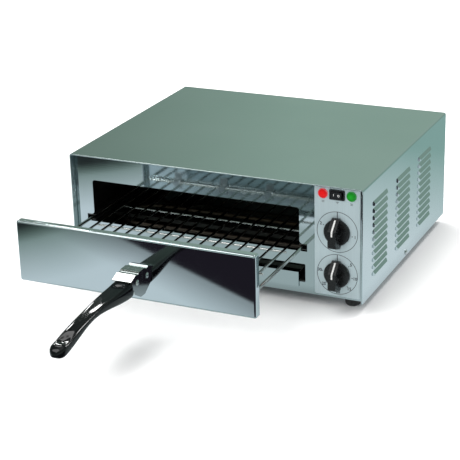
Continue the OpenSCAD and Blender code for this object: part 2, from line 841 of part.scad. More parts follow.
module timer() color("#c9c6bd") placed() difference() {
    union() {
        box([strip_x - timer_r - control_plate_lap / 2, face_back_y, lower_dial_z - timer_r],
            [strip_x + timer_r + control_plate_lap / 2, face_back_y + control_plate_t,
                lower_dial_z + timer_r]);
        rod_y(strip_x, face_back_y + control_plate_t / 2, lower_dial_z, timer_r,
            timer_l - control_plate_t / 2);
        rod_y(strip_x, strip_front_y - nut_t - 0.3, lower_dial_z, bushing_r,
            face_back_y - strip_front_y + nut_t + 0.6);
    }
    rod_y(strip_x, strip_front_y - nut_t - over, lower_dial_z, shaft_d / 2 + bearing_gap,
        shaft_socket);
}

// Bulb under the ceiling and the capillary that leads to the thermostat
module thermostat_bulb() color("#b87a4b") placed() {
    bulb_end_x = cavity_right - bulb_end_gap;
    capillary_x = strip_x + capillary_shift;
    rod_x(bulb_end_x - bulb_l, bulb_y, bulb_z, bulb_r, bulb_l);
    rod_x(bulb_end_x - bulb_r, bulb_y, bulb_z, capillary_r, capillary_x - bulb_end_x + bulb_r);
    translate([capillary_x, bulb_y, upper_dial_z + thermostat_half_h])
        cylinder(r = capillary_r, h = bulb_z - upper_dial_z - thermostat_half_h);
    translate([bulb_end_x - bulb_l / 3, bulb_y, bulb_z])
        box([-bulb_r, -bulb_clip_h, -bulb_clip_h], [bulb_r, bulb_clip_h, ceiling_z - bulb_z]);
}

// Nuts on the two bushings, in front of the strip
module shaft_nuts() color("#b9bcbd") placed() for (z = [upper_dial_z, lower_dial_z]) {
    difference() {
        translate([strip_x, strip_front_y, z]) rotate([90, 0, 0])
            cylinder(r = bushing_r + nut_wall, h = nut_t, $fn = 6);
        rod_y(strip_x, strip_front_y - nut_t - over, z, bushing_r + 0.02, nut_t + 2 * over);
    }
}

// Shaft with a shoulder inside its bearing, running forward into the knob
module dial_shaft(z) {
    rod_y(strip_x, knob_back_y - knob_h + 6, z, shaft_d / 2, knob_h - 6 + 9);
}

module thermostat_shaft() color("#a9adb0") placed() dial_shaft(upper_dial_z);
module timer_shaft() color("#a9adb0") placed() dial_shaft(lower_dial_z);

// Side view of a knob's bar: depth from the knob's back, height from its middle
module knob_bar_shape() {
    polygon([
        [1.5, knob_bar_l / 2 - 1], [2.5, knob_bar_l / 2], [skirt_h + 1.5, knob_bar_l / 2],
        [knob_h - 0.8, knob_bar_l * 0.19], [knob_h, knob_bar_l * 0.15],
        [knob_h, -knob_bar_l * 0.33], [knob_h - 2, -knob_bar_l * 0.39],
        [skirt_h + 1.5, -knob_bar_l / 2], [2.5, -knob_bar_l / 2], [1.5, -knob_bar_l / 2 + 1]
    ]);
}

// Knob with a bevelled skirt and a bar across it, its back on the plane y = 0
module knob() {
    r = knob_d / 2;
    difference() {
        union() {
            rotate([90, 0, 0]) rotate_extrude($fn = 96)
                polygon([[0, 0], [r, 0], [r, skirt_h - 2], [r - 2, skirt_h], [0, skirt_h]]);
            translate([-knob_bar_w / 2, 0, 0]) mirror([0, 1, 0]) along_x(0, knob_bar_w)
                knob_bar_shape();
            for (side = [-1, 1]) translate([side * (knob_bar_w / 2 - 0.5), -skirt_h + 1, 0])
                rotate([90, 0, 0]) cylinder(r = 3.5, h = knob_h - skirt_h - 3);
        }
        rod_y(0, -knob_h + 6, 0, shaft_d / 2 + 0.02, knob_h);
        rod_y(0, -nut_t - 1.5, 0, bushing_r + nut_wall + 0.5, knob_h);
        mirror([0, 1, 0]) along_x(-pointer_w / 2, pointer_w) difference() {
            pointer_band(over);
            pointer_band(-pointer_t);
        }
    }
}

// Region of a knob's side view between the panel and a line grown or shrunk from the bar's slope
function knob_slope_y(h) = knob_bar_l / 2
    - knob_bar_l * 0.31 * (h - skirt_h - 1.5) / (knob_h - skirt_h - 2.3);
module pointer_band(grow) {
    foot = skirt_h + 3;
    polygon([
        [foot, knob_slope_y(foot) + grow * 1.4],
        [knob_h - 0.8 + grow * 0.6, knob_bar_l * 0.19 + grow * 0.6],
        [knob_h + grow, knob_bar_l * 0.15], [knob_h + grow, knob_bar_l * 0.02],
        [foot, knob_bar_l * 0.02]
    ]);
}

// White line let into the slope and the front of a knob's bar
module pointer() {
    mirror([0, 1, 0]) along_x(-pointer_w / 2, pointer_w) intersection() {
        knob_bar_shape();
        difference() {
            pointer_band(0);
            pointer_band(-pointer_t);
        }
    }
}

module upper_knob() color("#17181a") placed() translate([strip_x, knob_back_y, upper_dial_z]) knob();
module lower_knob() color("#17181a") placed() translate([strip_x, knob_back_y, lower_dial_z]) knob();
module upper_pointer() color("white") placed() translate([strip_x, knob_back_y, upper_dial_z]) pointer();
module lower_pointer() color("white") placed() translate([strip_x, knob_back_y, lower_dial_z]) pointer();

module switch_housing() color("#1b1c1e") placed() translate([strip_x, 0, lamp_z]) difference() {
    union() {
        along_y(strip_front_y - 2, 2) rounded_rect(switch_w, switch_h, 1.5);
        along_y(strip_front_y, switch_depth) square([switch_body_w, switch_body_h], center = true);
        for (x = [-6, 0, 6]) box([x - 0.4, strip_front_y + switch_depth, -3],
            [x + 0.4, strip_front_y + switch_depth + 8, 3]);
    }
    along_y(strip_front_y - 3, 11) square([rocker_w + 2.6, rocker_h + 0.8], center = true);
    translate([0, rocker_pivot_y, -rocker_h / 2 - 1.5])
        cylinder(r = trunnion_r + bearing_gap, h = rocker_h + 3);
}

// Rocker with a hollow front, on two short trunnions
module rocker() color("#101113") placed()
    translate([strip_x, rocker_pivot_y, lamp_z]) rotate([0, 0, -rocker_tilt]) {
        half = rocker_w / 2;
        translate([0, 0, -rocker_h / 2]) linear_extrude(rocker_h) polygon([
            [-half, -5.2], [-half + 0.6, -5.8], [0, -4.6], [half - 0.6, -5.8], [half, -5.2],
            [half, -1], [3, 2.2], [-3, 2.2], [-half, -1]
        ]);
        translate([0, 0, -rocker_h / 2 - 1.2]) cylinder(r = trunnion_r, h = rocker_h + 2.4);
    }

// Domed lens on the strip, x from the strip's middle
module lamp_lens(x) {
    translate([strip_x + x, strip_front_y, lamp_z]) rotate([90, 0, 0])
        dome(lamp_d / 2, lens_rim, lens_rise);
}

module red_lamp_lens() color("#e3262e") placed() lamp_lens(-lamp_offset);
module green_lamp_lens() color("#1f9c3a") placed() lamp_lens(lamp_offset);

module lamp_bodies() color("#d8d6cf") placed() for (side = [-1, 1]) {
    rod_y(strip_x + side * lamp_offset, strip_front_y, lamp_z, lamp_body_d / 2, 22);
    for (tab = [-1, 1]) box([strip_x + side * lamp_offset + tab * 3 - 0.4, strip_front_y + 22, lamp_z - 2],
        [strip_x + side * lamp_offset + tab * 3 + 0.4, strip_front_y + 29, lamp_z + 2]);
}

// Ceramic block with three brass clamps' screws, where the mains cord ends
module terminal_block() color("#e6e2d6") placed()
    translate([inlet_x + 8, case_d - 60, pan_floor_z]) difference() {
        union() {
            translate([-24, -9, 0]) cube([48, 18, 6]);
            for (pole = [-1 : 1]) translate([pole * 14 - 5.5, -7, 6]) cube([11, 14, 9]);
        }
        for (pole = [-1 : 1]) translate([pole * 14, 0, 9]) cylinder(r = 2.2, h = 10);
    }

// ---- Rack drawer ----

// Box with folds of radius r along its front edges and its corners, its front on y = 0
module folded_box(width, height, depth, r) {
    w = width / 2;
    h = height / 2;
    box([-w + r, 0, -h + r], [w - r, depth, h - r]);
    box([-w, r, -h + r], [w, depth, h - r]);
    box([-w + r, r, -h], [w - r, depth, h]);
    for (x = [-1, 1], z = [-1, 1]) {
        rod_y(x * (w - r), r, z * (h - r), r, depth - r);
        translate([x * (w - r), r, z * (h - r)]) sphere(r = r);
    }
    for (z = [-1, 1]) rod_x(-w + r, r, z * (h - r), r, width - 2 * r);
    for (x = [-1, 1]) translate([x * (w - r), r, -h + r]) cylinder(r = r, h = height - 2 * r);
}

module drawer_front() color("#a3b3b3") placed()
    translate([panel_x, panel_y, panel_bottom + panel_h / 2]) difference() {
        folded_box(panel_w, panel_h, panel_return, panel_fold_r);
        translate([0, panel_sheet, 0]) folded_box(panel_w - 2 * panel_sheet, panel_h - 2 * panel_sheet,
            panel_return, panel_fold_r - panel_sheet);
        bracket_screw_places() rod_y(0, -over, 0, screw_d / 2 + bearing_gap, panel_sheet + 2 * over);
    }

// Places of the two screws that hold the handle's bracket, from the panel's middle
module bracket_screw_places() {
    for (side = [-1, 1]) {
        translate([side * bracket_w / 4, 0, grip_top - panel_h / 2 - 14]) children();
    }
}

// Rails, rear wire with bent corners, front wire and the bars under the inner wires
module rack_frame() color("#b4b8ba") placed() translate([cavity_x, 0, 0]) {
    r = rail_d / 2;
    half = rack_w / 2;
    bend = rack_corner_r;
    rod_x(-half, rack_front_y, rack_z, r, rack_w);
    for (side = [-1, 1]) {
        rod_y(side * half, rack_front_y, rack_z, r, rack_l - bend + rod_lap);
        translate([side * (half - bend), rack_rear_y - bend, rack_z]) rotate([0, 0, side > 0 ? 0 : 90])
            rotate_extrude(angle = 90) translate([bend, 0]) circle(r);
        translate([side * half, rack_front_y, rack_z]) sphere(r = r);
    }
    rod_x(-half + bend - rod_lap, rack_rear_y, rack_z, r, rack_w - 2 * bend + 2 * rod_lap);
}

// Inner wires, each with the bars they rest on
module rack_wires() color("#b4b8ba") placed() translate([cavity_x, 0, 0]) {
    for (wire = [0 : wire_count - 1]) {
        x = (wire + 1) * wire_pitch - rack_w / 2;
        rod_y(x, rack_front_y + rail_d / 2 - weld_depth, rack_z, wire_d / 2,
            rack_l - rail_d + 2 * weld_depth);
    }
    bar_half = rack_w / 2 - wire_pitch + wire_d;
    for (bar = [1 : bar_count]) {
        rod_x(-bar_half, rack_front_y + bar * rack_l / (bar_count + 1), bar_z, bar_d / 2, 2 * bar_half);
    }
}

// Clips that hold the rack's front wire to the panel's back
module rack_clips() color("#9da1a3") placed() {
    apart = floor(wire_count / 6);
    for (place = [-3, -1, 1, 3]) {
        x = cavity_x + (place * apart + (wire_count % 2) / 2) * wire_pitch;
        difference() {
            union() {
                box([x - clip_w / 2, panel_inner_y, rack_z - clip_below],
                    [x + clip_w / 2, panel_inner_y + clip_plate_t, rack_z + clip_above]);
                box([x - clip_w / 2, panel_inner_y, rack_z - rail_d / 2 - clip_wall],
                    [x + clip_w / 2, panel_inner_y + clip_reach, rack_z + rail_d / 2 + clip_wall]);
            }
            rod_x(x - clip_w, rack_front_y, rack_z, rail_d / 2 + 0.02, 2 * clip_w);
        }
    }
}

// ---- Handle ----

// Side view of the bracket: distance in front of the panel, height above the panel's lower edge
module bracket_outline() {
    t = bracket_top;
    polygon([
        [0, t - 0.6], [7.5, t - 0.6], [9, t - 2.6], [16, t - 3], [18, t - 1.2],
        [bracket_reach, t - bracket_slope], [bracket_reach, t - bracket_slope - 2],
        [bracket_reach - 4, t - bracket_slope - 2], [bracket_reach - 4, t - 16],
        [bracket_reach - 9.5, t - 28.5], [6, bracket_foot], [0, bracket_foot]
    ]);
}

// Draws a side view of the handle in its own places: reach runs forward from the panel
module handle_side(x, width) {
    translate([handle_x, panel_y, panel_bottom]) mirror([0, 1, 0]) along_x(x, width) children();
}

module handle_bracket() color("#d3d6d8") placed() difference() {
    handle_side(-bracket_w / 2, bracket_w) bracket_outline();
    handle_side(-bracket_w / 2 + bracket_sheet, bracket_w - 2 * bracket_sheet) {
        t = bracket_top - bracket_sheet;
        polygon([
            [bracket_sheet, t - 0.6], [7, t - 0.6], [8.5, t - 2.8], [16.5, t - 3.2], [18, t - 1.6],
            [bracket_reach + over, t - bracket_slope - 0.2], [bracket_reach + over, -over],
            [bracket_sheet, -over]
        ]);
    }
    rod_x(handle_x - bracket_w, panel_y - rivet_reach, rivet_z, rivet_d / 2 + 0.02, 2 * bracket_w);
    translate([panel_x, panel_y, panel_bottom + panel_h / 2]) bracket_screw_places()
        rod_y(0, -2 * bracket_sheet, 0, screw_d / 2 + bearing_gap, 3 * bracket_sheet);
}

// Smooth passage from a to b as t goes from 0 to 1
function ease(a, b, t) = a + (b - a) * (3 - 2 * t) * t * t;
function clamp01(t) = max(0, min(1, t));
// Value that starts at a, passes the waist's b at `mid` and ends at c
function waisted(a, b, c, mid, t) =
    t < mid ? ease(a, b, t / mid) : ease(b, c, clamp01((t - mid) / (0.9 - mid)));
// Share of the full section left at t, falling to a blunt point over the last stretch
function tip_share(t) = t < 0.93 ? 1 : sqrt(max(0.0, 1 - pow((t - 0.93) / 0.07, 2)));
function signed_pow(v, p) = sign(v) * pow(abs(v), p);
// Rises from 0 at `from` to 1 at `peak` and falls back to 0 at `to`
function swell(t, from, peak, to) =
    t < peak ? ease(0, 1, clamp01((t - from) / (peak - from)))
        : 1 - ease(0, 1, clamp01((t - peak) / (to - peak)));

// Ring of the grip at the share t of its length: a rounded rectangle with a hollow top
function grip_ring(t) =
    let (
        w = waisted(grip_w, waist_w, end_w, grip_waist_at, t) * max(0.25, tip_share(t)) / 2,
        h = waisted(grip_h, waist_h, end_h, grip_waist_at, t),
        hh = h * max(0.25, tip_share(t)) / 2,
        y = -(grip_start + (grip_reach - grip_start) * t),
        top = grip_top - grip_fall * t * t - h / 2,
        hollow = channel_depth * swell(t, 0.03, 0.1, 0.72) + dimple_depth * swell(t, 0.75, 0.87, 0.93)
    )
    [for (i = [0 : ring_points - 1])
        let (
            a = 360 * i / ring_points,
            sx = signed_pow(cos(a), squareness),
            sz = signed_pow(sin(a), squareness)
        )
        [sx * w, y, top + sz * hh - (sz > 0 ? hollow * sz * (1 - sx * sx) : 0)]];

// Grip lofted through its rings, with a flat tang that enters the bracket
module handle_grip() color("#141517") placed() {
    rings = [for (i = [0 : grip_rings - 1]) grip_ring(i / (grip_rings - 1))];
    n = ring_points;
    last = (grip_rings - 1) * n;
    points = [for (ring = rings, point = ring) point];
    sides = [for (i = [0 : grip_rings - 2], j = [0 : n - 1])
        [(i + 1) * n + j, (i + 1) * n + (j + 1) % n, i * n + (j + 1) % n, i * n + j]];
    translate([handle_x, panel_y, panel_bottom]) {
        polyhedron(points = points, faces = concat(
            [[for (j = [0 : n - 1]) j]], sides, [[for (j = [n - 1 : -1 : 0]) last + j]]), convexity = 6);
        difference() {
            box([-grip_w / 2 + 4, -grip_start - 2, grip_top - grip_h + 3.5],
                [grip_w / 2 - 4, -rivet_reach + 6, grip_top - 2.5]);
            rod_x(-grip_w, -rivet_reach, rivet_z - panel_bottom, rivet_d / 2 + 0.02, 2 * grip_w);
        }
    }
}

module handle_rivet() color("#c6c9cb") placed() {
    rod_x(handle_x - bracket_w / 2, panel_y - rivet_reach, rivet_z, rivet_d / 2, bracket_w);
    for (side = [-1, 1]) {
        translate([handle_x + side * bracket_w / 2, panel_y - rivet_reach, rivet_z])
            rotate([0, side * 90, 0]) dome(rivet_d * 0.8, 0.4, 1.4);
    }
}

module bracket_screws() color("#8d9092") placed()
    translate([panel_x, panel_inner_y, panel_bottom + panel_h / 2]) bracket_screw_places()
        rotate([0, 0, 180]) screw_in(panel_sheet + bracket_sheet + 1);

// ---- Crumb tray ----

module crumb_tray() color("#a9b3b4") placed() translate([cavity_x, 0, 0]) {
    half = tray_w / 2;
    difference() {
        box([-half, tray_front_y, tray_z], [half, tray_front_y + tray_l, tray_z + tray_h]);
        box([-half + sheet, tray_front_y + sheet, tray_z + sheet],
            [half - sheet, tray_front_y + tray_l - sheet, tray_z + tray_h + over]);
    }
    box([-half, tray_front_y, tray_front_z], [half, tray_front_y + sheet, tray_front_z + tray_front_h]);
}

outer_wrap();
base_pan();
rear_panel();
front_face();
control_strip();
cavity_liner();
cavity_back();
heat_shield();
rack_runner_left();
rack_runner_right();
tray_ledge_left();
tray_ledge_right();
upper_element();
lower_element();
upper_element_supports();
lower_element_supports();
thermostat();
thermostat_bulb();
timer();
shaft_nuts();
switch_housing();
red_lamp_lens();
green_lamp_lens();
lamp_bodies();
terminal_block();
cord_inlet();
rear_screws();
side_screws();
foot_front_left();
foot_front_right();
foot_rear_left();
foot_rear_right();
foot_screws();
drawer_front();
rack_frame();
rack_wires();
rack_clips();
handle_bracket();
handle_grip();
handle_rivet();
bracket_screws();
crumb_tray();
upper_knob();
upper_pointer();
thermostat_shaft();
lower_knob();
lower_pointer();
timer_shaft();
rocker();
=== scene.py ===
"""Countertop pizza oven with a pull-out rack: its looks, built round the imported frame."""

import json
import logging
import math
from contextlib import contextmanager
from dataclasses import dataclass
from enum import Enum
from typing import Callable, ClassVar, Iterator, Sequence

import bmesh
import bpy
from mathutils import Matrix, Vector

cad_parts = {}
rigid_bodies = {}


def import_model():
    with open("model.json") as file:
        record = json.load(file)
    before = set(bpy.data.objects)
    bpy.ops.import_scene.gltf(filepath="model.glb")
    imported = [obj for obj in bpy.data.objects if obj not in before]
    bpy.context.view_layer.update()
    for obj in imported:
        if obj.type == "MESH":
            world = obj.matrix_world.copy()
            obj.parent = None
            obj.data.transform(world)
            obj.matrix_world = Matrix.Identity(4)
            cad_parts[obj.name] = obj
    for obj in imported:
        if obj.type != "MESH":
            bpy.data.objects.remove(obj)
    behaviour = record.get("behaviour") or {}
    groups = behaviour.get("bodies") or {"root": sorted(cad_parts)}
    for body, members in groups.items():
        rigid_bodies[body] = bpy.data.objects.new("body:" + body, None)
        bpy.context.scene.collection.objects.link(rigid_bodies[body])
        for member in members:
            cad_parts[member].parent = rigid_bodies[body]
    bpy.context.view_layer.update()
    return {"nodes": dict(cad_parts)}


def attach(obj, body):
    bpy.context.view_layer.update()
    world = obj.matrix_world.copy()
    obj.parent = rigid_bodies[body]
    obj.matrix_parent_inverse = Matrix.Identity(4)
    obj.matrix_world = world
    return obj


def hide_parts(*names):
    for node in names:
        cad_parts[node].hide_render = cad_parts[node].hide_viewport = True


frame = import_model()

log = logging.getLogger("pizza_oven")

Colour = tuple[float, float, float]
Place = tuple[float, float, float]
Reach = tuple[float, float]
Socket = bpy.types.NodeSocket
Piece = bpy.types.Object

WHITE: Colour = (1.0, 1.0, 1.0)
UPRIGHT: Place = (math.pi / 2, 0.0, 0.0)


class Slot(Enum):
    """Material slots of the record that the finishes stand for."""

    POLISHED = "polished_steel"
    FOLDED = "folded_steel"
    LINER = "liner_steel"
    STRIP = "strip_face"
    TUBE = "element_tube"
    MOULDED = "moulded_body"
    COPPER = "copper"
    PORCELAIN = "porcelain"
    BLACK = "black_plastic"
    WHITE = "white_line"
    RED = "red_lens"
    GREEN = "green_lens"
    RUBBER = "black_rubber"
    WIRE = "bright_wire"
    SCREW = "screw_steel"


class Grain(Enum):
    """Direction in which a sheet was rolled or brushed, or a moulding flowed."""

    NONE = (1.0, 1.0, 1.0)
    ALONG_X = (0.02, 1.0, 1.0)
    ALONG_Y = (1.0, 0.02, 1.0)
    ALONG_Z = (1.0, 1.0, 0.02)
    FLOWED = (1.0, 0.35, 1.0)


# ---- Nodes ----


@dataclass(frozen=True)
class Pattern:
    """A noise: cells per metre, octaves, and the stretch of its coordinates."""

    scale: float
    detail: float
    grain: Grain = Grain.NONE


class NodeDesk:
    """Lays out the nodes of one tree."""

    usual_range: ClassVar[Reach] = (0.3, 0.7)

    def __init__(self, tree: bpy.types.NodeTree) -> None:
        """Takes the tree to lay nodes in."""
        self.tree = tree

    def add(self, kind: str, **settings: object) -> bpy.types.Node:
        """Adds a node and sets its properties.

        Args:
            kind: The node's type, such as ShaderNodeMix.
            **settings: Properties of the node, by name.

        Returns:
            The new node.
        """
        node = self.tree.nodes.new(kind)
        for key, value in settings.items():
            setattr(node, key, value)
        return node

    def feed(self, value: Socket | float | Colour, target: Socket) -> None:
        """Joins an output to an input, or sets the input to a number or a colour.

        Args:
            value: An output, a number or a colour.
            target: The input.
        """
        if isinstance(value, bpy.types.NodeSocket):
            self.tree.links.new(value, target)
        elif isinstance(value, tuple):
            target.default_value = (*value, 1.0)
        else:
            target.default_value = value

    def through(self, node: bpy.types.Node, *values: Socket | float | Colour) -> Socket:
        """Feeds values to a node's first inputs.

        Args:
            node: The node.
            *values: Outputs, numbers or colours, in the order of its inputs.

        Returns:
            The node's first output.
        """
        for value, target in zip(values, node.inputs):
            self.feed(value, target)
        return node.outputs[0]

    def split(self, vector: Socket) -> Sequence[Socket]:
        """Splits a vector.

        Args:
            vector: The vector.

        Returns:
            Its X, Y and Z.
        """
        node = self.add("ShaderNodeSeparateXYZ")
        self.feed(vector, node.inputs[0])
        return node.outputs

    def spread(self, value: Socket, low: float, high: float, between: Reach = usual_range) -> Socket:
        """Spreads a factor over low..high.

        Args:
            value: The factor.
            low: The result where the factor's range starts.
            high: The result where it ends.
            between: The factor's range.

        Returns:
            The result.
        """
        node = self.add("ShaderNodeMapRange")
        for key, number in zip(("From Min", "From Max", "To Min", "To Max"), (*between, low, high)):
            node.inputs[key].default_value = number
        self.feed(value, node.inputs["Value"])
        return node.outputs["Result"]

    def rise(self, value: Socket, between: Reach = usual_range) -> Socket:
        """Grows from 0 to 1 over the factor's range."""
        return self.spread(value, 0.0, 1.0, between)

    def fall(self, value: Socket, between: Reach) -> Socket:
        """Falls from 1 to 0 over the factor's range."""
        return self.spread(value, 1.0, 0.0, between)

    def math(self, operation: str, *values: Socket | float) -> Socket:
        """One Math node on up to two values."""
        return self.through(self.add("ShaderNodeMath", operation=operation), *values)

    def length(self, *sides: Socket) -> Socket:
        """Length of the slope over two right-angled sides."""
        squares = [self.math("MULTIPLY", side, side) for side in sides]
        return self.math("SQRT", self.math("ADD", *squares))

    def mix(
        self, factor: Socket | float, first: Colour | Socket, second: Colour | Socket, blend: str = "MIX"
    ) -> Socket:
        """Mixes two colours by a factor.

        Args:
            factor: 0 for the first colour, 1 for the second.
            first: A colour, or an output.
            second: A colour, or an output.
            blend: How the second lies on the first.

        Returns:
            The mixed colour.
        """
        node = self.add("ShaderNodeMix", data_type="RGBA", blend_type=blend)
        self.feed(factor, node.inputs["Factor"])
        targets = [socket for socket in node.inputs if socket.type == "RGBA"]
        for colour, target in zip((first, second), targets):
            self.feed(colour, target)
        return [socket for socket in node.outputs if socket.type == "RGBA"][0]

    def either(self, factor: Socket, first: Socket, second: Socket) -> Socket:
        """Mixes two shaders by a factor."""
        return self.through(self.add("ShaderNodeMixShader"), factor, first, second)

    def background(self, colour: Socket | Colour, strength: float) -> Socket:
        """A background of this colour and strength."""
        return self.through(self.add("ShaderNodeBackground"), colour, strength)


class MaterialDesk(NodeDesk):
    """Lays out one material round its Principled shader, with every pattern on Object coordinates."""

    def __init__(self, name: str) -> None:
        """Starts a material.

        Args:
            name: The material's name.
        """
        self.material = bpy.data.materials.new(name)
        self.material.use_nodes = True
        super().__init__(self.material.node_tree)
        self.shader = self.tree.nodes["Principled BSDF"]
        self.output = self.tree.nodes["Material Output"]

    def set(self, name: str, value: Socket | float | Colour) -> None:
        """Gives a socket of the shader a constant or an output."""
        self.feed(value, self.shader.inputs[name])

    def place(self, scale: Place = Grain.NONE.value, shift: Place = (0.0, 0.0, 0.0)) -> Socket:
        """Object coordinates through a Mapping node.

        Args:
            scale: Factor for each axis.
            shift: Move for each axis, in metres, after the scale.

        Returns:
            The mapped coordinates.
        """
        coordinates = self.add("ShaderNodeTexCoord")
        mapping = self.add("ShaderNodeMapping")
        mapping.inputs["Scale"].default_value = scale
        mapping.inputs["Location"].default_value = shift
        self.feed(coordinates.outputs["Object"], mapping.inputs["Vector"])
        return mapping.outputs["Vector"]

    def noise(self, pattern: Pattern) -> Socket:
        """Lays a noise.

        Args:
            pattern: The noise's pattern.

        Returns:
            Its factor.
        """
        texture = self.add("ShaderNodeTexNoise")
        texture.inputs["Scale"].default_value = pattern.scale
        texture.inputs["Detail"].default_value = pattern.detail
        self.feed(self.place(pattern.grain.value), texture.inputs["Vector"])
        return texture.outputs["Fac"]

    def bump(
        self, height: Socket, depth: float, strength: float = 1.0, before: Socket | None = None
    ) -> Socket:
        """A bump on top of one laid before it.

        Args:
            height: The pattern.
            depth: Its depth, in metres.
            strength: Share of the bump.
            before: The bump below it.

        Returns:
            The normal.
        """
        node = self.add("ShaderNodeBump")
        node.inputs["Distance"].default_value = depth
        node.inputs["Strength"].default_value = strength
        self.feed(height, node.inputs["Height"])
        if before is not None:
            self.feed(before, node.inputs["Normal"])
        return node.outputs["Normal"]


# ---- Kinds of finish ----


@dataclass(frozen=True)
class Finish:
    """A finish, with the record's slot that it stands for."""

    name: str
    slot: Slot

    def lay(self, desk: MaterialDesk) -> None:
        """Lays out the finish's nodes on a desk."""
        raise NotImplementedError(self.name)

    def material(self) -> bpy.types.Material:
        """The finish's material, built once and then shared."""
        if self.name not in bpy.data.materials:
            self.lay(MaterialDesk(self.name))
        return bpy.data.materials[self.name]


@dataclass(frozen=True)
class SheetMetal(Finish):
    """Bare sheet: cloudy colour, fine streaks along the grain, smudges and a slow wave."""

    base: Colour
    shade: Colour
    roughness: float
    grain: Grain
    streak: float
    smudge: float
    wave: float
    scratch: float = 0.000004
    streak_scale: float = 900.0
    streak_detail: float = 2.0
    clouds: Pattern = Pattern(5.0, 2.0)
    smudges: Pattern = Pattern(26.0, 5.0)
    waves: Pattern = Pattern(7.0, 1.0)
    smudged: Reach = (0.5, 0.75)

    def lay(self, desk: MaterialDesk) -> None:
        """Lays out the metal.

        Args:
            desk: The material's desk.
        """
        desk.set("Metallic", 1.0)
        desk.set("Base Color", desk.mix(desk.rise(desk.noise(self.clouds)), self.base, self.shade))
        streaks = desk.noise(Pattern(self.streak_scale, self.streak_detail, self.grain))
        streaked = desk.spread(streaks, self.roughness - self.streak / 2, self.roughness + self.streak / 2)
        dulled = desk.spread(desk.noise(self.smudges), 0.0, self.smudge, self.smudged)
        desk.set("Roughness", desk.math("ADD", streaked, dulled))
        slow = desk.bump(desk.noise(self.waves), self.wave)
        desk.set("Normal", desk.bump(streaks, self.scratch, before=slow))


@dataclass(frozen=True)
class Moulding(Finish):
    """Moulded plastic or rubber: deep colour, faint flow marks, dust and a fine grain."""

    base: Colour
    shade: Colour
    roughness: float
    grain_depth: float = 0.00002
    grain_scale: float = 1500.0
    grain_detail: float = 2.0
    gloss: float = 0.5
    flow: Pattern = Pattern(60.0, 4.0, Grain.FLOWED)
    dust: Pattern = Pattern(240.0, 5.0)
    dusted: Reach = (0.35, 0.7)
    clean_share: float = 0.85
    dusty_share: float = 1.3
    grain_strength: float = 0.6

    def lay(self, desk: MaterialDesk) -> None:
        """Lays out the moulding.

        Args:
            desk: The material's desk.
        """
        desk.set("Specular IOR Level", self.gloss)
        desk.set("Base Color", desk.mix(desk.rise(desk.noise(self.flow)), self.base, self.shade))
        clean, dusty = self.roughness * self.clean_share, self.roughness * self.dusty_share
        desk.set("Roughness", desk.spread(desk.noise(self.dust), clean, dusty, self.dusted))
        grain = desk.noise(Pattern(self.grain_scale, self.grain_detail))
        desk.set("Normal", desk.bump(grain, self.grain_depth, self.grain_strength))


@dataclass(frozen=True)
class LampLens(Finish):
    """Coloured lens lit from behind: crossed prisms with painted shade in their valleys, a hot middle and a
    paler rim.
    """

    deep: Colour
    hot: Colour
    rim: Colour
    glow: float
    middle: Place
    radius: float
    roughness: float = 0.2
    gloss: float = 0.3
    prism_w: float = 0.0009
    prism_shift: float = 0.1
    prism_gain: float = 500.0
    prism_between: Reach = (0.1, 0.9)
    prism_depth: float = 0.0005
    prism_strength: float = 0.7
    painted_valley_shade: float = 0.45
    core_share: Reach = (0.25, 0.8)
    rim_share: Reach = (0.82, 0.9)

    def lay(self, desk: MaterialDesk) -> None:
        """Lays out the lens.

        Args:
            desk: The material's desk.
        """
        desk.set("Roughness", self.roughness)
        desk.set("Specular IOR Level", self.gloss)
        desk.set("Emission Strength", self.glow)
        x, _, z = desk.split(desk.place(shift=tuple(-value for value in self.middle)))
        shifted = [desk.math("ADD", side, self.prism_shift) for side in (x, z)]
        waves = [desk.math("PINGPONG", side, self.prism_w) for side in shifted]
        prisms = desk.math("MULTIPLY", desk.math("ADD", *waves), self.prism_gain)
        share = desk.math("DIVIDE", desk.length(x, z), self.radius)
        # The lens glows as a lamp, brightest in the middle and paler at the rim; the darker prism valleys
        # are painted shade, in the colour and the glow.
        tone = desk.mix(desk.rise(share, self.core_share), self.hot, self.deep)
        tone = desk.mix(desk.rise(share, self.rim_share), tone, self.rim)
        painted_valley_shade = tuple(self.painted_valley_shade * value for value in self.deep)
        tone = desk.mix(desk.rise(prisms, self.prism_between), painted_valley_shade, tone)
        desk.set("Base Color", tone)
        desk.set("Emission Color", tone)
        desk.set("Normal", desk.bump(prisms, self.prism_depth, self.prism_strength))


@dataclass(frozen=True)
class Glaze(Finish):
    """Fired ceramic: pale, speckled and glossy."""

    base: Colour
    speck: Colour
    roughness: float = 0.22
    coat: float = 0.4
    specks: Pattern = Pattern(700.0, 2.0)
    speckled: Reach = (0.62, 0.72)
    ripples: Pattern = Pattern(90.0, 3.0)
    ripple_depth: float = 0.00012
    ripple_strength: float = 0.5

    def lay(self, desk: MaterialDesk) -> None:
        """Lays out the ceramic.

        Args:
            desk: The material's desk.
        """
        desk.set("Roughness", self.roughness)
        desk.set("Coat Weight", self.coat)
        specks = desk.rise(desk.noise(self.specks), self.speckled)
        desk.set("Base Color", desk.mix(specks, self.base, self.speck))
        desk.set("Normal", desk.bump(desk.noise(self.ripples), self.ripple_depth, self.ripple_strength))


@dataclass(frozen=True)
class Lacquer(Finish):
    """Satin lacquer on brushed sheet."""

    base: Colour
    shade: Colour
    metallic: float = 0.15
    brushing: Pattern = Pattern(1100.0, 2.0, Grain.ALONG_Z)
    brush_depth: float = 0.000006
    cloudy: Pattern = Pattern(40.0, 4.0)
    roughness: Reach = (0.34, 0.44)

    def lay(self, desk: MaterialDesk) -> None:
        """Lays out the lacquer.

        Args:
            desk: The material's desk.
        """
        desk.set("Metallic", self.metallic)
        brushed = desk.noise(self.brushing)
        desk.set("Base Color", desk.mix(desk.rise(brushed), self.base, self.shade))
        desk.set("Roughness", desk.spread(desk.noise(self.cloudy), *self.roughness))
        desk.set("Normal", desk.bump(brushed, self.brush_depth))


# ---- Finishes of this oven ----

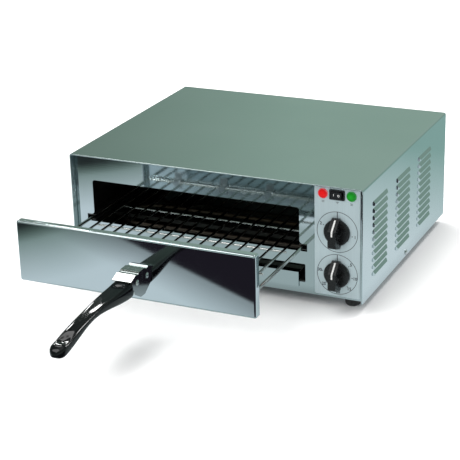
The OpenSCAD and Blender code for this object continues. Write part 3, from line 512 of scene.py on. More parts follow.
MIRROR_FACE = SheetMetal(
    "mirror_face_steel", Slot.POLISHED, (0.52, 0.58, 0.60), (0.49, 0.56, 0.575), 0.05, Grain.ALONG_X,
    streak=0.02, smudge=0.03, wave=0.00018,
)
WRAP_STEEL = SheetMetal(
    "polished_wrap_steel", Slot.POLISHED, (0.51, 0.575, 0.585), (0.475, 0.55, 0.555), 0.12, Grain.ALONG_Y,
    streak=0.05, smudge=0.06, wave=0.00022,
)
FOLDED_STEEL = SheetMetal(
    "galvanised_sheet", Slot.FOLDED, (0.50, 0.52, 0.53), (0.40, 0.43, 0.44), 0.32, Grain.NONE,
    streak=0.10, smudge=0.12, wave=0.0003,
)
# Dark coated sheet; its darkness is partly painted shade for the inside of the chamber.
LINER_STEEL = SheetMetal(
    "dark_liner_coat_and_shade", Slot.LINER, (0.16, 0.155, 0.15), (0.07, 0.06, 0.052), 0.42, Grain.ALONG_Y,
    streak=0.12, smudge=0.2, wave=0.0003,
)
CHROME = SheetMetal(
    "bright_chrome", Slot.WIRE, (0.66, 0.67, 0.66), (0.60, 0.60, 0.58), 0.06, Grain.NONE,
    streak=0.03, smudge=0.08, wave=0.0001,
)
ZINC = SheetMetal(
    "zinc_plate", Slot.SCREW, (0.56, 0.57, 0.56), (0.47, 0.48, 0.49), 0.28, Grain.NONE,
    streak=0.10, smudge=0.12, wave=0.00005,
)
HEATED_TUBE = SheetMetal(
    "heat_tinted_tube", Slot.TUBE, (0.11, 0.095, 0.085), (0.16, 0.11, 0.075), 0.48, Grain.NONE,
    streak=0.2, smudge=0.2, wave=0.0001,
)
COPPER = SheetMetal(
    "plain_copper", Slot.COPPER, (0.66, 0.36, 0.22), (0.45, 0.22, 0.13), 0.3, Grain.NONE,
    streak=0.12, smudge=0.15, wave=0.0001,
)
BAKELITE = Moulding(
    "glossy_bakelite", Slot.BLACK, (0.002, 0.0025, 0.003), (0.004, 0.0045, 0.005), 0.07,
    grain_depth=0.000002, gloss=0.3,
)
KNOB_BLACK = Moulding(
    "knob_moulding", Slot.BLACK, (0.006, 0.0065, 0.007), (0.010, 0.0105, 0.011), 0.26,
    grain_depth=0.000008, gloss=0.35,
)
SWITCH_BLACK = Moulding("switch_moulding", Slot.BLACK, (0.009, 0.009, 0.011), (0.014, 0.014, 0.016), 0.3)
RUBBER = Moulding(
    "foot_rubber", Slot.RUBBER, (0.009, 0.009, 0.010), (0.017, 0.0165, 0.016), 0.72,
    grain_depth=0.00006, grain_scale=900.0,
)
PALE_MOULDING = Moulding("pale_moulding", Slot.MOULDED, (0.66, 0.63, 0.56), (0.56, 0.53, 0.46), 0.4)
WHITE_INLAY = Moulding("white_inlay", Slot.WHITE, (0.86, 0.86, 0.84), (0.76, 0.76, 0.74), 0.38)
DARK_INK = Moulding("printed_ink", Slot.STRIP, (0.025, 0.033, 0.045), (0.04, 0.05, 0.06), 0.5)
STRIP_FACE = Lacquer("satin_strip_face", Slot.STRIP, (0.54, 0.65, 0.68), (0.49, 0.60, 0.63))
PORCELAIN = Glaze("glazed_block", Slot.PORCELAIN, (0.82, 0.80, 0.74), (0.6, 0.57, 0.5))


def cover(finish: Finish, *nodes: str) -> None:
    """Gives CAD nodes a finish and leaves their shapes alone.

    Args:
        finish: The finish.
        *nodes: Names of the nodes.
    """
    for node in nodes:
        mesh = frame["nodes"][node].data
        for index in range(len(mesh.materials)):
            mesh.materials[index] = finish.material()
        log.info("%s: %s", node, finish.name)


def dress(piece: Piece, body: str, finish: Finish) -> None:
    """Gives a finished piece its finish and its body.

    Args:
        piece: The piece, at the origin.
        body: The CAD body it rides on.
        finish: Its finish.
    """
    piece.data.materials.clear()
    piece.data.materials.append(finish.material())
    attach(piece, body)
    log.info("%s: %d faces on %s", piece.name, len(piece.data.polygons), body)


# ---- The bench ----


@dataclass(frozen=True)
class Rounding:
    """Width in metres of rounded edges, faces across it, and the angle in degrees above which they round."""

    width: float
    faces: int
    angle: float = 30.0


class Bench:
    """Operators that shape one piece at a time, as by hand."""

    corner_weight: ClassVar[int] = 100
    weld: ClassVar[float] = 0.000005
    flat: ClassVar[float] = math.radians(0.5)
    quad_face: ClassVar[float] = math.radians(30.0)
    quad_shape: ClassVar[float] = math.radians(60.0)
    crease: ClassVar[float] = math.radians(55.0)
    smooth_below: ClassVar[float] = 35.0
    loft_smooth_below: ClassVar[float] = 50.0

    @staticmethod
    def clear() -> None:
        """Leaves edit mode and selects nothing."""
        if bpy.context.object and bpy.context.object.mode != "OBJECT":
            bpy.ops.object.mode_set(mode="OBJECT")
        bpy.ops.object.select_all(action="DESELECT")

    @classmethod
    def take(cls, piece: Piece) -> Piece:
        """Selects one piece only and makes it active.

        Args:
            piece: The piece.

        Returns:
            The piece.
        """
        cls.clear()
        piece.select_set(True)
        bpy.context.view_layer.objects.active = piece
        return piece

    @staticmethod
    def named(name: str) -> Piece:
        """Names the piece that was just added.

        Args:
            name: Its name.

        Returns:
            The piece.
        """
        piece = bpy.context.object
        piece.name = name
        piece.data.name = name
        return piece

    @classmethod
    def settle(cls, piece: Piece) -> Piece:
        """Puts a piece's place, turn and scale into its mesh.

        Args:
            piece: The piece.

        Returns:
            The piece, at the origin.
        """
        cls.take(piece)
        bpy.ops.object.transform_apply(location=True, rotation=True, scale=True)
        return piece

    @classmethod
    def block(cls, name: str, low: Sequence[float], high: Sequence[float]) -> Piece:
        """A thin bar or tick between two corners.

        Args:
            name: Its name.
            low: The lower corner.
            high: The upper corner.

        Returns:
            The block.
        """
        cls.clear()
        low, high = Vector(low), Vector(high)
        bpy.ops.mesh.primitive_cube_add(size=1.0, location=(low + high) / 2, scale=high - low)
        return cls.settle(cls.named(name))

    @staticmethod
    def copied(node: str, name: str) -> Piece:
        """A copy of a CAD node's mesh, to be shaped further.

        Args:
            node: The CAD node.
            name: Name of the copy.

        Returns:
            The copy.
        """
        piece = bpy.data.objects.new(name, frame["nodes"][node].data.copy())
        bpy.context.scene.collection.objects.link(piece)
        piece.data.name = name
        piece.data.materials.clear()
        return piece

    @classmethod
    @contextmanager
    def editing(cls, piece: Piece, mode: str) -> Iterator[None]:
        """Edit mode on one piece, with all of it selected at first.

        Args:
            piece: The piece to shape.
            mode: FACE, EDGE or VERT.

        Yields:
            Nothing; the piece is in edit mode meanwhile.
        """
        cls.take(piece)
        bpy.ops.object.mode_set(mode="EDIT")
        bpy.ops.mesh.select_mode(type=mode)
        bpy.ops.mesh.select_all(action="SELECT")
        yield
        bpy.ops.object.mode_set(mode="OBJECT")

    @staticmethod
    def pick_faces(piece: Piece, test: Callable[[Vector], bool]) -> None:
        """Selects some of the faces of the piece being edited.

        Args:
            piece: The piece.
            test: Says by its normal whether a face is selected.
        """
        bpy.ops.mesh.select_all(action="DESELECT")
        cage = bmesh.from_edit_mesh(piece.data)
        for face in cage.faces:
            if test(face.normal):
                face.select_set(True)
        bmesh.update_edit_mesh(piece.data)

    @classmethod
    def modify(cls, piece: Piece, kind: str, **settings: object) -> Piece:
        """Adds a modifier and applies it.

        Args:
            piece: The piece.
            kind: The modifier's type.
            **settings: Its properties, by name.

        Returns:
            The piece.
        """
        cls.take(piece)
        modifier = piece.modifiers.new(kind.lower(), kind)
        for key, value in settings.items():
            setattr(modifier, key, value)
        bpy.ops.object.modifier_apply(modifier=modifier.name)
        return piece

    @classmethod
    def smooth(cls, piece: Piece, below: float) -> Piece:
        """Shades a piece smooth across its flatter edges.

        Args:
            piece: The piece.
            below: The angle below which they are smooth, in degrees.

        Returns:
            The piece.
        """
        cls.take(piece)
        bpy.ops.object.shade_smooth_by_angle(angle=math.radians(below))
        return piece

    @classmethod
    def bevel(cls, piece: Piece, rounding: Rounding) -> Piece:
        """Rounds the piece's edges and shades it smooth.

        Args:
            piece: The piece.
            rounding: How its edges are rounded.

        Returns:
            The piece.
        """
        cls.modify(
            piece, "BEVEL", width=rounding.width, segments=rounding.faces, limit_method="ANGLE",
            angle_limit=math.radians(rounding.angle), use_clamp_overlap=True,
        )
        cls.smooth(piece, cls.smooth_below)
        return cls.modify(
            piece, "WEIGHTED_NORMAL", mode="FACE_AREA", weight=cls.corner_weight, keep_sharp=True
        )

    @classmethod
    def softened(cls, node: str, name: str, rounding: Rounding) -> Piece:
        """A merged copy of a CAD node with rounded edges, which then stands for the node.

        Args:
            node: The CAD node.
            name: Name of the copy.
            rounding: How its edges are rounded.

        Returns:
            The copy.
        """
        piece = cls.copied(node, name)
        with cls.editing(piece, "VERT"):
            bpy.ops.mesh.remove_doubles(threshold=cls.weld)
            bpy.ops.mesh.dissolve_limited(angle_limit=cls.flat)
        cls.bevel(piece, rounding)
        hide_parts(node)
        return piece

    @classmethod
    def lofted(cls, node: str, name: str, levels: int) -> Piece:
        """A merged copy of a lofted CAD node, smoothed by subdivision, which then stands for the node.

        Args:
            node: The CAD node.
            name: Name of the copy.
            levels: Subdivision levels.

        Returns:
            The copy.
        """
        piece = cls.copied(node, name)
        with cls.editing(piece, "EDGE"):
            bpy.ops.mesh.remove_doubles(threshold=cls.weld)
            bpy.ops.mesh.tris_convert_to_quads(face_threshold=cls.quad_face, shape_threshold=cls.quad_shape)
            bpy.ops.mesh.select_all(action="DESELECT")
            bpy.ops.mesh.edges_select_sharp(sharpness=cls.crease)
            bpy.ops.transform.edge_crease(value=1.0)
        cls.modify(piece, "SUBSURF", levels=levels, render_levels=levels)
        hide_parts(node)
        return cls.smooth(piece, cls.loft_smooth_below)

    @classmethod
    def ring(cls, name: str, middle: Sequence[float], radius: float, width: float, points: int) -> Piece:
        """A flat upright ring that faces the front.

        Args:
            name: Name of the ring.
            middle: Its middle.
            radius: Its outer radius.
            width: Its width, inwards.
            points: Points round it.

        Returns:
            The ring.
        """
        cls.clear()
        bpy.ops.mesh.primitive_circle_add(
            vertices=points, radius=radius, fill_type="NOTHING", location=middle, rotation=UPRIGHT
        )
        ring = cls.settle(cls.named(name))
        share = (radius - width) / radius
        with cls.editing(ring, "EDGE"):
            bpy.ops.mesh.extrude_edges_move()
            bpy.ops.transform.resize(value=(share, 1.0, share), center_override=middle)
            cls.face_forward()
        return ring

    @staticmethod
    def face_forward() -> None:
        """Turns the flat faces of the piece being edited towards the front."""
        bpy.ops.mesh.select_all(action="SELECT")
        bpy.ops.mesh.normals_make_consistent(inside=False)
        cage = bmesh.from_edit_mesh(bpy.context.object.data)
        if sum(face.normal.y * face.calc_area() for face in cage.faces) > 0:
            bpy.ops.mesh.flip_normals()

    @classmethod
    def join(cls, pieces: Sequence[Piece], name: str) -> Piece:
        """Joins pieces into one.

        Args:
            pieces: The pieces.
            name: Name of the result.

        Returns:
            The joined piece.
        """
        cls.take(pieces[0])
        for piece in pieces:
            piece.select_set(True)
        bpy.ops.object.join()
        return cls.named(name)


# ---- The studio ----


@dataclass(frozen=True)
class SoftBox:
    """A soft box above the table, turned towards the oven's mouth."""

    name: str
    place: Place
    size: Reach
    power: float
    off_sheets: bool = False


@dataclass(frozen=True)
class Sun:
    """Broad soft light from one side, which gloss doesn't show."""

    name: str
    energy: float
    source: Place


@dataclass
class Studio:
    """Floor, light, background and camera."""

    eye: Vector = Vector((0.87233, -1.79005, 0.87611))
    right: Vector = Vector((0.90880, 0.41638, -0.02656))
    up: Vector = Vector((-0.12954, 0.34211, 0.93069))
    lens: float = 113.954
    sensor: float = 36.0
    far_clip: float = 60.0
    floor_w: float = 18.0
    floor_tone: Colour = (0.80, 0.80, 0.80)
    # Tones of the floor's painted reflection in the steel: pale near the oven and greener far off.
    near_tone: Colour = (0.86, 0.95, 1.0)
    far_tone: Colour = (0.34, 0.53, 0.49)
    far_floor: Reach = (0.26, 0.75)
    # Painted shade in the reflected floor's front-left corner, and painted shadow under the drawer and under
    # the oven.
    dim_corner: Reach = (-0.62, -0.62)
    painted_shade_tone: Colour = (0.24, 0.33, 0.29)
    corner_reach: Reach = (0.27, 0.48)
    painted_deep_shade_tone: Colour = (0.03, 0.038, 0.038)
    core_reach: Reach = (0.24, 0.31)
    mouth_side: Reach = (0.17, 0.26)
    drawer_shadow_y: float = -0.14
    drawer_shadow_reach: Reach = (0.12, 0.165)
    drawer_shadow_share: float = 0.55
    oven_shadow_y: float = 0.19
    oven_shadow_reach: Reach = (0.15, 0.24)
    # A painted dark patch in the reflected floor in front of the panel's right half, with painted shade
    # before its edge.
    painted_patch_edge: tuple[Vector, Vector] = (Vector((-0.171, -0.4757)), Vector((0.0772, -0.3475)))
    painted_patch_tone: Colour = (0.02, 0.016, 0.024)
    painted_patch_line: Reach = (-0.004, 0.004)
    painted_patch_end: Reach = (0.22, 0.4)
    painted_patch_shade: Reach = (-0.075, -0.01)
    painted_patch_shade_share: float = 0.52
    ambient: float = 0.52
    spare_stop: float = 0.5
    room_stops: tuple[tuple[float, Colour], ...] = (
        (0.0, (0.30, 0.42, 0.37)), (0.30, (0.40, 0.545, 0.46)), (0.47, (0.49, 0.60, 0.54)),
        (0.60, (0.19, 0.24, 0.215)), (0.84, (0.22, 0.27, 0.25)), (0.98, (0.9, 0.93, 0.95)),
    )
    left_wall: Reach = (-0.50, -0.36)
    left_wall_tone: Reach = (0.55, 0.95)
    softness: float = 34.0
    suns: tuple[Sun, ...] = (
        Sun("overhead_light", 1.8, (-0.30, 0.05, 1.0)),
        Sun("front_light", 0.8, (-0.25, -1.0, 0.6)),
    )
    soft_boxes: tuple[SoftBox, ...] = (
        SoftBox("back_softbox", (-0.95, 0.48, 1.74), (0.5, 0.4), 2.2),
        SoftBox("front_softbox", (-0.84, -0.95, 1.72), (0.75, 0.75), 6.0),
        SoftBox("rim_softbox", (0.67, 0.86, 1.54), (0.3, 0.45), 10.0, off_sheets=True),
        SoftBox("low_softbox", (-1.27, 0.88, 1.12), (0.2, 0.2), 3.5, off_sheets=True),
        SoftBox("streak_softbox", (-1.16, 1.30, 1.06), (0.10, 0.34), 3.0, off_sheets=True),
    )
    aim_at: Vector = Vector((0.0, -0.05, 0.08))
    broad_sheets: tuple[str, ...] = ("outer_wrap", "front_face", "rear_panel", "crumb_tray")

    def build(self) -> None:
        """Sets the whole stage."""
        self.camera()
        self.floor()
        self.room()
        self.lamps()
        bpy.context.scene.view_settings.view_transform = "Standard"

    def camera(self) -> None:
        """The camera at the photograph's place."""
        data = bpy.data.cameras.new("studio_camera")
        data.lens = self.lens
        data.sensor_width = self.sensor
        data.clip_end = self.far_clip
        camera = bpy.data.objects.new("studio_camera", data)
        bpy.context.scene.collection.objects.link(camera)
        turn = Matrix((self.right, self.up, self.right.cross(self.up))).transposed().to_4x4()
        camera.matrix_world = Matrix.Translation(self.eye) @ turn
        bpy.context.scene.camera = camera

    def floor(self) -> None:
        """A plain pale floor; polished steel sees instead a painted reflection of it, in a cooler tone with
        painted shade.
        """
        Bench.clear()
        bpy.ops.mesh.primitive_plane_add(size=self.floor_w, location=(0, 0, 0))
        floor = Bench.named("studio_floor")
        desk = MaterialDesk("pale_floor")
        desk.set("Roughness", 1.0)
        desk.set("Specular IOR Level", 0.0)
        paths = desk.add("ShaderNodeLightPath")
        desk.set("Base Color", desk.mix(paths.outputs["Is Camera Ray"], self.floor_tone, WHITE))
        mirrored = desk.add("ShaderNodeEmission")
        desk.feed(self.floor_in_steel(desk), mirrored.inputs["Color"])
        surface = desk.either(paths.outputs["Is Glossy Ray"], desk.shader.outputs[0], mirrored.outputs[0])
        desk.feed(surface, desk.output.inputs["Surface"])
        floor.data.materials.append(desk.material)

    def floor_in_steel(self, desk: MaterialDesk) -> Socket:
        """Tone of the floor in reflections.

        It is a painted reflection: cool and pale near the oven, with painted shade in the left corner,
        painted shadow under the drawer and the oven, and a painted dark patch in front of the panel's right
        half.

        Args:
            desk: The floor's desk.

        Returns:
            The tone.
        """
        x, y, _ = desk.split(desk.place())
        tone = desk.mix(desk.rise(y, self.far_floor), self.near_tone, self.far_tone)
        # Painted shade: the reflected floor darkens towards the front-left corner.
        corner = desk.length(*(desk.math("SUBTRACT", at, mid) for at, mid in zip((x, y), self.dim_corner)))
        tone = desk.mix(desk.fall(corner, self.corner_reach), tone, self.painted_shade_tone)
        tone = desk.mix(desk.fall(corner, self.core_reach), tone, self.painted_deep_shade_tone)
        # Painted shadow in the reflected floor under the drawer and under the oven.
        across = desk.fall(desk.math("ABSOLUTE", x), self.mouth_side)
        gap = self.from_line(desk, y, self.drawer_shadow_y)
        drawer = desk.spread(gap, self.drawer_shadow_share, 0.0, self.drawer_shadow_reach)
        tone = desk.mix(desk.math("MULTIPLY", drawer, across), tone, self.painted_shade_tone)
        oven = desk.fall(self.from_line(desk, y, self.oven_shadow_y), self.oven_shadow_reach)
        tone = desk.mix(desk.math("MULTIPLY", oven, across), tone, self.painted_deep_shade_tone)
        # Painted dark patch in the reflected floor past its edge, with painted shade leading up to the edge.
        past = self.past_painted_patch(desk, x, y)
        inside = desk.fall(past, self.painted_patch_end)
        shade = desk.spread(past, 0.0, self.painted_patch_shade_share, self.painted_patch_shade)
        tone = desk.mix(desk.math("MULTIPLY", shade, inside), tone, self.painted_deep_shade_tone)
        sheet = desk.rise(past, self.painted_patch_line)
        return desk.mix(desk.math("MULTIPLY", sheet, inside), tone, self.painted_patch_tone)

    @staticmethod
    def from_line(desk: NodeDesk, value: Socket, line: float) -> Socket:
        """How far a value lies from a line, to either side."""
        return desk.math("ABSOLUTE", desk.math("SUBTRACT", value, line))

    def past_painted_patch(self, desk: NodeDesk, x: Socket, y: Socket) -> Socket:
        """How far a point of the floor lies beyond the edge of the painted dark patch.

        Args:
            desk: The floor's desk.
            x: The point's x.
            y: The point's y.

        Returns:
            The distance in metres, below 0 before the edge.
        """
        start, end = self.painted_patch_edge
        along = (end - start).normalized()
        normal = Vector((along.y, -along.x))
        reach = desk.math("ADD", desk.math("MULTIPLY", x, normal.x), desk.math("MULTIPLY", y, normal.y))
        return desk.math("SUBTRACT", reach, start.dot(normal))

    def room(self) -> None:
        """White to the eye and to glass, plain light on the object, a graded room for gloss."""
        world = bpy.data.worlds.new("studio_room")
        world.use_nodes = True
        world.node_tree.nodes.clear()
        bpy.context.scene.world = world
        desk = NodeDesk(world.node_tree)
        paths = desk.add("ShaderNodeLightPath").outputs
        gloss = desk.background(self.room_in_steel(desk), 1.0)
        lit = desk.either(paths["Is Glossy Ray"], desk.background(WHITE, self.ambient), gloss)
        seen = desk.math("MAXIMUM", paths["Is Camera Ray"], paths["Is Transmission Ray"])
        shown = desk.either(seen, lit, desk.background(WHITE, 1.0))
        desk.feed(shown, desk.add("ShaderNodeOutputWorld").inputs["Surface"])

    def room_in_steel(self, desk: NodeDesk) -> Socket:
        """Tone of the room in reflections, graded by height and dimmer to the left.

        Args:
            desk: The room's desk.

        Returns:
            The tone.
        """
        x, _, z = desk.split(desk.add("ShaderNodeTexCoord").outputs["Generated"])
        ramp = desk.add("ShaderNodeValToRGB")
        desk.feed(z, ramp.inputs["Fac"])
        elements = ramp.color_ramp.elements
        while len(elements) < len(self.room_stops):
            elements.new(self.spare_stop)
        for element, (place, colour) in zip(elements, self.room_stops):
            element.position = place
            element.color = (*colour, 1.0)
        wall = desk.spread(x, *self.left_wall_tone, self.left_wall)
        return desk.mix(1.0, ramp.outputs["Color"], wall, "MULTIPLY")

    def lamps(self) -> None:
        """Broad suns above and in front, and soft boxes for the gloss."""
        for sun in self.suns:
            data = bpy.data.lights.new(sun.name, "SUN")
            data.energy = sun.energy
            data.angle = math.radians(self.softness)
            self.hang(data, Vector(sun.source), Vector()).visible_glossy = False
        for box in self.soft_boxes:
            data = bpy.data.lights.new(box.name, "AREA")
            data.shape = "RECTANGLE"
            data.size, data.size_y = box.size
            data.energy = box.power
            self.hang(data, Vector(box.place), self.aim_at)

    @staticmethod
    def hang(data: bpy.types.Light, place: Vector, target: Vector) -> Piece:
        """Hangs a lamp.

        Args:
            data: The lamp's light.
            place: Where it hangs.
            target: What it's turned towards.

        Returns:
            The lamp.
        """
        lamp = bpy.data.objects.new(data.name, data)
        bpy.context.scene.collection.objects.link(lamp)
        lamp.location = place
        lamp.rotation_euler = (target - place).to_track_quat("-Z", "Y").to_euler()
        return lamp

    def aim(self) -> None:
        """Keeps the small strong soft boxes off the broad sheets, which would blow out."""
        lit = bpy.data.collections.new("soft_box_pieces")
        broad = [frame["nodes"][name] for name in self.broad_sheets]
        for piece in bpy.context.scene.objects:
            if piece.type == "MESH" and piece not in broad:
                lit.objects.link(piece)
        for box in self.soft_boxes:
            if box.off_sheets:
                bpy.data.objects[box.name].light_linking.receiver_collection = lit


# ---- Case, chamber and control bay ----


class Case:
    """Wrap, face plate, rear panel, base pan, feet and screws."""

    def build(self) -> None:
        """Dresses the case."""
        cover(WRAP_STEEL, "outer_wrap")
        cover(MIRROR_FACE, "front_face")
        cover(FOLDED_STEEL, "base_pan", "rear_panel", "heat_shield")
        cover(RUBBER, *(f"foot_{end}_{side}" for end in ("front", "rear") for side in ("left", "right")))
        cover(ZINC, "rear_screws", "side_screws", "foot_screws")
        cover(SWITCH_BLACK, "cord_inlet")


class Chamber:
    """Liner, runners, tray ledges and heating elements."""

    def build(self) -> None:
        """Dresses the chamber."""
        # The liner's dark colour is partly painted shade.
        cover(LINER_STEEL, "cavity_liner", "cavity_back", "upper_element_supports", "lower_element_supports")
        cover(LINER_STEEL, "rack_runner_left", "rack_runner_right", "tray_ledge_left", "tray_ledge_right")
        cover(HEATED_TUBE, "upper_element", "lower_element")


class ControlBay:
    """What stands behind the control strip."""

    def build(self) -> None:
        """Dresses the control bay."""
        cover(PALE_MOULDING, "thermostat", "timer", "lamp_bodies")
        cover(ZINC, "thermostat_shaft", "timer_shaft", "shaft_nuts")
        cover(COPPER, "thermostat_bulb")
        cover(PORCELAIN, "terminal_block")


# ---- Drawer and tray ----


@dataclass
class Drawer:
    """Rack, front panel, bracket and grip."""

    body: str = "rack_drawer"
    grip_levels: int = 2
    bracket_edge: Rounding = Rounding(0.0004, 3)

    def build(self) -> None:
        """Makes and dresses the drawer's pieces."""
        cover(CHROME, "rack_frame", "rack_wires", "handle_rivet")
        cover(MIRROR_FACE, "drawer_front")
        cover(FOLDED_STEEL, "rack_clips")
        cover(ZINC, "bracket_screws")
        dress(Bench.lofted("handle_grip", "bakelite_grip", self.grip_levels), self.body, BAKELITE)
        dress(Bench.softened("handle_bracket", "chrome_bracket", self.bracket_edge), self.body, CHROME)


class CrumbTray:
    """Tray under the rack."""

    def build(self) -> None:
        """Dresses the tray."""
        cover(MIRROR_FACE, "crumb_tray")


# ---- Controls ----


@dataclass
class OnStrip:
    """Where the control strip's face and its row of lamps and switch lie."""

    body: str = "oven"
    middle_x: float = 0.1932
    front_y: float = 0.0087
    row_z: float = 0.1733
    print_t: float = 0.00006

    def thicken(self, flat: Piece) -> Piece:
        """Gives flat print its thickness, standing off the strip."""
        return Bench.modify(flat, "SOLIDIFY", thickness=self.print_t, offset=1.0)


@dataclass
class Dials(OnStrip):
    """The print of the two dials, and their knobs."""

    upper_z: float = 0.117
    lower_z: float = 0.052
    ring_r: float = 0.031
    ring_line: float = 0.0008
    ring_points: int = 96
    tick_r: float = 0.0228
    tick_half_l: float = 0.0009
    tick_half_w: float = 0.00054
    zero_from: float = 0.0210
    digit: float = 0.0064
    digit_r: float = 0.0271
    digit_weight: float = 0.00018
    digit_weld: float = 0.000001
    knob_edge: Rounding = Rounding(0.0006, 3)
    upper_marks: tuple[tuple[float, str], ...] = ((0, "0"), (100, "1"), (293, "2"))
    lower_marks: tuple[tuple[float, str], ...] = (
        (0, "0"), (50, "5"), (97, "10"), (138, "15"), (178, "20"), (230, "25"), (278, "30"),
    )

    def prints(self) -> None:
        """Makes and dresses the print of both dials."""
        dress(self.dial("upper_dial_print", self.upper_z, self.upper_marks), self.body, DARK_INK)
        dress(self.dial("lower_dial_print", self.lower_z, self.lower_marks), self.body, DARK_INK)

    def knobs(self) -> None:
        """Makes and dresses the two knobs, and dresses their lines."""
        for node, name in (("upper_knob", "upper_dial_knob"), ("lower_knob", "lower_dial_knob")):
            dress(Bench.softened(node, name, self.knob_edge), node, KNOB_BLACK)
        cover(WHITE_INLAY, "upper_pointer", "lower_pointer")

    def dial(self, name: str, z: float, marks: Sequence[tuple[float, str]]) -> Piece:
        """Circle, ticks and numbers of one dial.

        Args:
            name: Name of the print.
            z: Height of the dial's middle.
            marks: Angle clockwise from the top, and number, of each mark.

        Returns:
            The print as one piece.
        """
        middle = Vector((self.middle_x, self.front_y, z))
        parts = [self.thicken(Bench.ring(name, middle, self.ring_r, self.ring_line, self.ring_points))]
        for turn, text in marks:
            angle = math.radians(turn)
            parts.append(self.tick(middle, angle, turn == 0))
            if turn:
                out = Vector((math.sin(angle), 0.0, math.cos(angle)))
                parts.append(self.number(text, middle + out * self.digit_r))
        return Bench.join(parts, name)

    def tick(self, middle: Vector, angle: float, is_zero: bool) -> Piece:
        """A tick of one mark: short near the knob, or from the knob to the ring at zero.

        Args:
            middle: The dial's middle.
            angle: Angle clockwise from the top.
            is_zero: Whether it marks zero.

        Returns:
            The tick.
        """
        start, end = self.tick_r - self.tick_half_l, self.tick_r + self.tick_half_l
        if is_zero:
            start, end = self.zero_from, self.ring_r
        tick = Bench.block("tick", (-self.tick_half_w, -self.print_t, start), (self.tick_half_w, 0.0, end))
        tick.data.transform(Matrix.Rotation(angle, 4, "Y"))
        tick.location = middle
        return Bench.settle(tick)

    def number(self, text: str, place: Vector) -> Piece:
        """A plain number as a thin mesh on the strip.

        Args:
            text: The number.
            place: Its middle.

        Returns:
            The mesh.
        """
        Bench.clear()
        bpy.ops.object.text_add(location=place, rotation=UPRIGHT)
        piece = bpy.context.object
        piece.data.body = text
        piece.data.size = self.digit
        piece.data.offset = self.digit_weight
        piece.data.align_x = "CENTER"
        piece.data.align_y = "CENTER"
        Bench.take(piece)
        bpy.ops.object.convert(target="MESH")
        piece = Bench.settle(bpy.context.object)
        with Bench.editing(piece, "VERT"):
            bpy.ops.mesh.remove_doubles(threshold=self.digit_weld)
            Bench.face_forward()
        return self.thicken(piece)


@dataclass
class Lamps(OnStrip):
    """The two lenses, and the small marks below the row."""

    step_x: float = 0.0214
    lens_r: float = 0.0075
    lens_points: int = 48
    collar_t: float = 0.0012
    dome_steps: tuple[Reach, ...] = (
        (0.0007, 0.0), (0.0002, 0.0009), (0.0016, 0.0009), (0.0018, 0.0005), (0.0014, 0.0002),
    )
    dome_front: float = -0.9
    lens_edge: Rounding = Rounding(0.00025, 2, 40.0)
    lamp_bars: tuple[float, ...] = (0.0022, 0.0014, 0.0022)
    switch_bars: tuple[float, ...] = (0.0026, 0.0018, 0.0008)
    bar_drop: float = 0.0108
    bar_step: float = 0.0011
    bar_half_h: float = 0.00022

    def marks(self) -> None:
        """Makes and dresses small plain bars below the lamps and the switch."""
        parts = []
        columns = zip((-self.step_x, 0.0, self.step_x), (self.lamp_bars, self.switch_bars, self.lamp_bars))
        for shift, bars in columns:
            for index, half_w in enumerate(bars):
                x, z = self.middle_x + shift, self.row_z - self.bar_drop - index * self.bar_step
                low = (x - half_w, self.front_y - self.print_t, z - self.bar_half_h)
                high = (x + half_w, self.front_y, z + self.bar_half_h)
                parts.append(Bench.block("mark", low, high))
        dress(Bench.join(parts, "lamp_marks"), self.body, DARK_INK)

    def lenses(self) -> None:
        """Makes and dresses the two lenses."""
        red = LampLens(
            "red_lens_glow", Slot.RED, deep=(0.80, 0.002, 0.004), hot=(1.0, 0.004, 0.006),
            rim=(0.95, 0.26, 0.30), glow=0.35, middle=self.middle(-1), radius=self.lens_r,
        )
        green = LampLens(
            "green_lens_glow", Slot.GREEN, deep=(0.004, 0.30, 0.012), hot=(0.008, 0.48, 0.02),
            rim=(0.10, 0.55, 0.16), glow=0.22, middle=self.middle(1), radius=self.lens_r,
        )
        for colour, glow in (("red", red), ("green", green)):
            lens = self.dome(f"{colour}_lens_cap", glow.middle)
            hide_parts(f"{colour}_lamp_lens")
            dress(lens, self.body, glow)

    def dome(self, name: str, middle: Place) -> Piece:
        """A lens domed in steps on a collar.

        Args:
            name: Its name.
            middle: Middle of its seat on the strip.

        Returns:
            The lens.
        """
        x, y, z = middle
        Bench.clear()
        bpy.ops.mesh.primitive_cylinder_add(
            vertices=self.lens_points, radius=self.lens_r, depth=self.collar_t,
            location=(x, y - self.collar_t / 2, z), rotation=UPRIGHT,
        )
        lens = Bench.settle(Bench.named(name))
        with Bench.editing(lens, "FACE"):
            Bench.pick_faces(lens, lambda normal: normal.y < self.dome_front)
            for inset, rise in self.dome_steps:
                bpy.ops.mesh.inset(thickness=inset, depth=rise)
        return Bench.bevel(lens, self.lens_edge)

    def middle(self, side: int) -> Place:
        """Middle of the left (-1) or the right (1) lens."""
        return (self.middle_x + side * self.step_x, self.front_y, self.row_z)


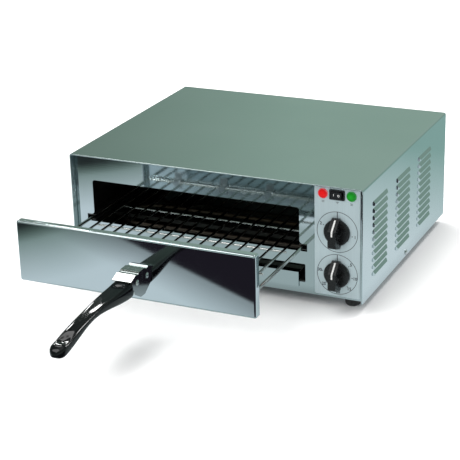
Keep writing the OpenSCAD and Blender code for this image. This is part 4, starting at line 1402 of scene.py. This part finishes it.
@dataclass
class RockerSwitch(OnStrip):
    """Switch bezel, rocker and the rocker's bar and circle."""

    edge: Rounding = Rounding(0.0004, 3)
    pivot_y: float = 0.0102
    tilt: float = math.radians(8.0)
    slope: float = math.radians(9.2)
    face_y: float = -0.00524
    mark_x: float = 0.0039
    mark_line: float = 0.0007
    mark_h: float = 0.0036
    mark_t: float = 0.00012
    mark_points: int = 32

    def build(self) -> None:
        """Makes and dresses the switch."""
        dress(Bench.softened("switch_housing", "switch_bezel", self.edge), self.body, SWITCH_BLACK)
        dress(Bench.softened("rocker", "rocker_key", self.edge), "rocker", SWITCH_BLACK)
        self.marks()

    def marks(self) -> None:
        """Makes and dresses the on bar and the off circle, each on its slope of the tilted rocker."""
        pivot = Matrix.Translation((self.middle_x, self.pivot_y, self.row_z))
        tilted = pivot @ Matrix.Rotation(-self.tilt, 4, "Z")
        half = Vector((self.mark_line, self.mark_t, self.mark_h)) / 2
        bar = Bench.block("bar", -half, half)
        circle = Bench.ring("circle", (0.0, 0.0, 0.0), self.mark_h / 2, self.mark_line, self.mark_points)
        Bench.modify(circle, "SOLIDIFY", thickness=self.mark_t, offset=0.0)
        for mark, side in ((bar, -1), (circle, 1)):
            place = Matrix.Translation((side * self.mark_x, self.face_y, 0.0))
            mark.matrix_world = tilted @ place @ Matrix.Rotation(-side * self.slope, 4, "Z")
            Bench.settle(mark)
        dress(Bench.join((bar, circle), "rocker_marks"), "rocker", WHITE_INLAY)


@dataclass
class ControlStrip(OnStrip):
    """Printed strip with its dials, lamps and switch."""

    edge: Rounding = Rounding(0.00025, 2)

    def build(self) -> None:
        """Makes and dresses the strip and all that it carries."""
        dials, lamps = Dials(), Lamps()
        dress(Bench.softened("control_strip", "printed_strip", self.edge), self.body, STRIP_FACE)
        dials.prints()
        lamps.marks()
        dials.knobs()
        lamps.lenses()
        RockerSwitch().build()


def main() -> None:
    """Builds the pieces in order."""
    logging.basicConfig(level=logging.INFO, format="%(name)s: %(message)s")
    studio = Studio()
    studio.build()
    for part in (Case(), Chamber(), ControlBay(), Drawer(), CrumbTray(), ControlStrip()):
        part.build()
    studio.aim()
    Bench.clear()


if __name__ == "__main__":
    main()
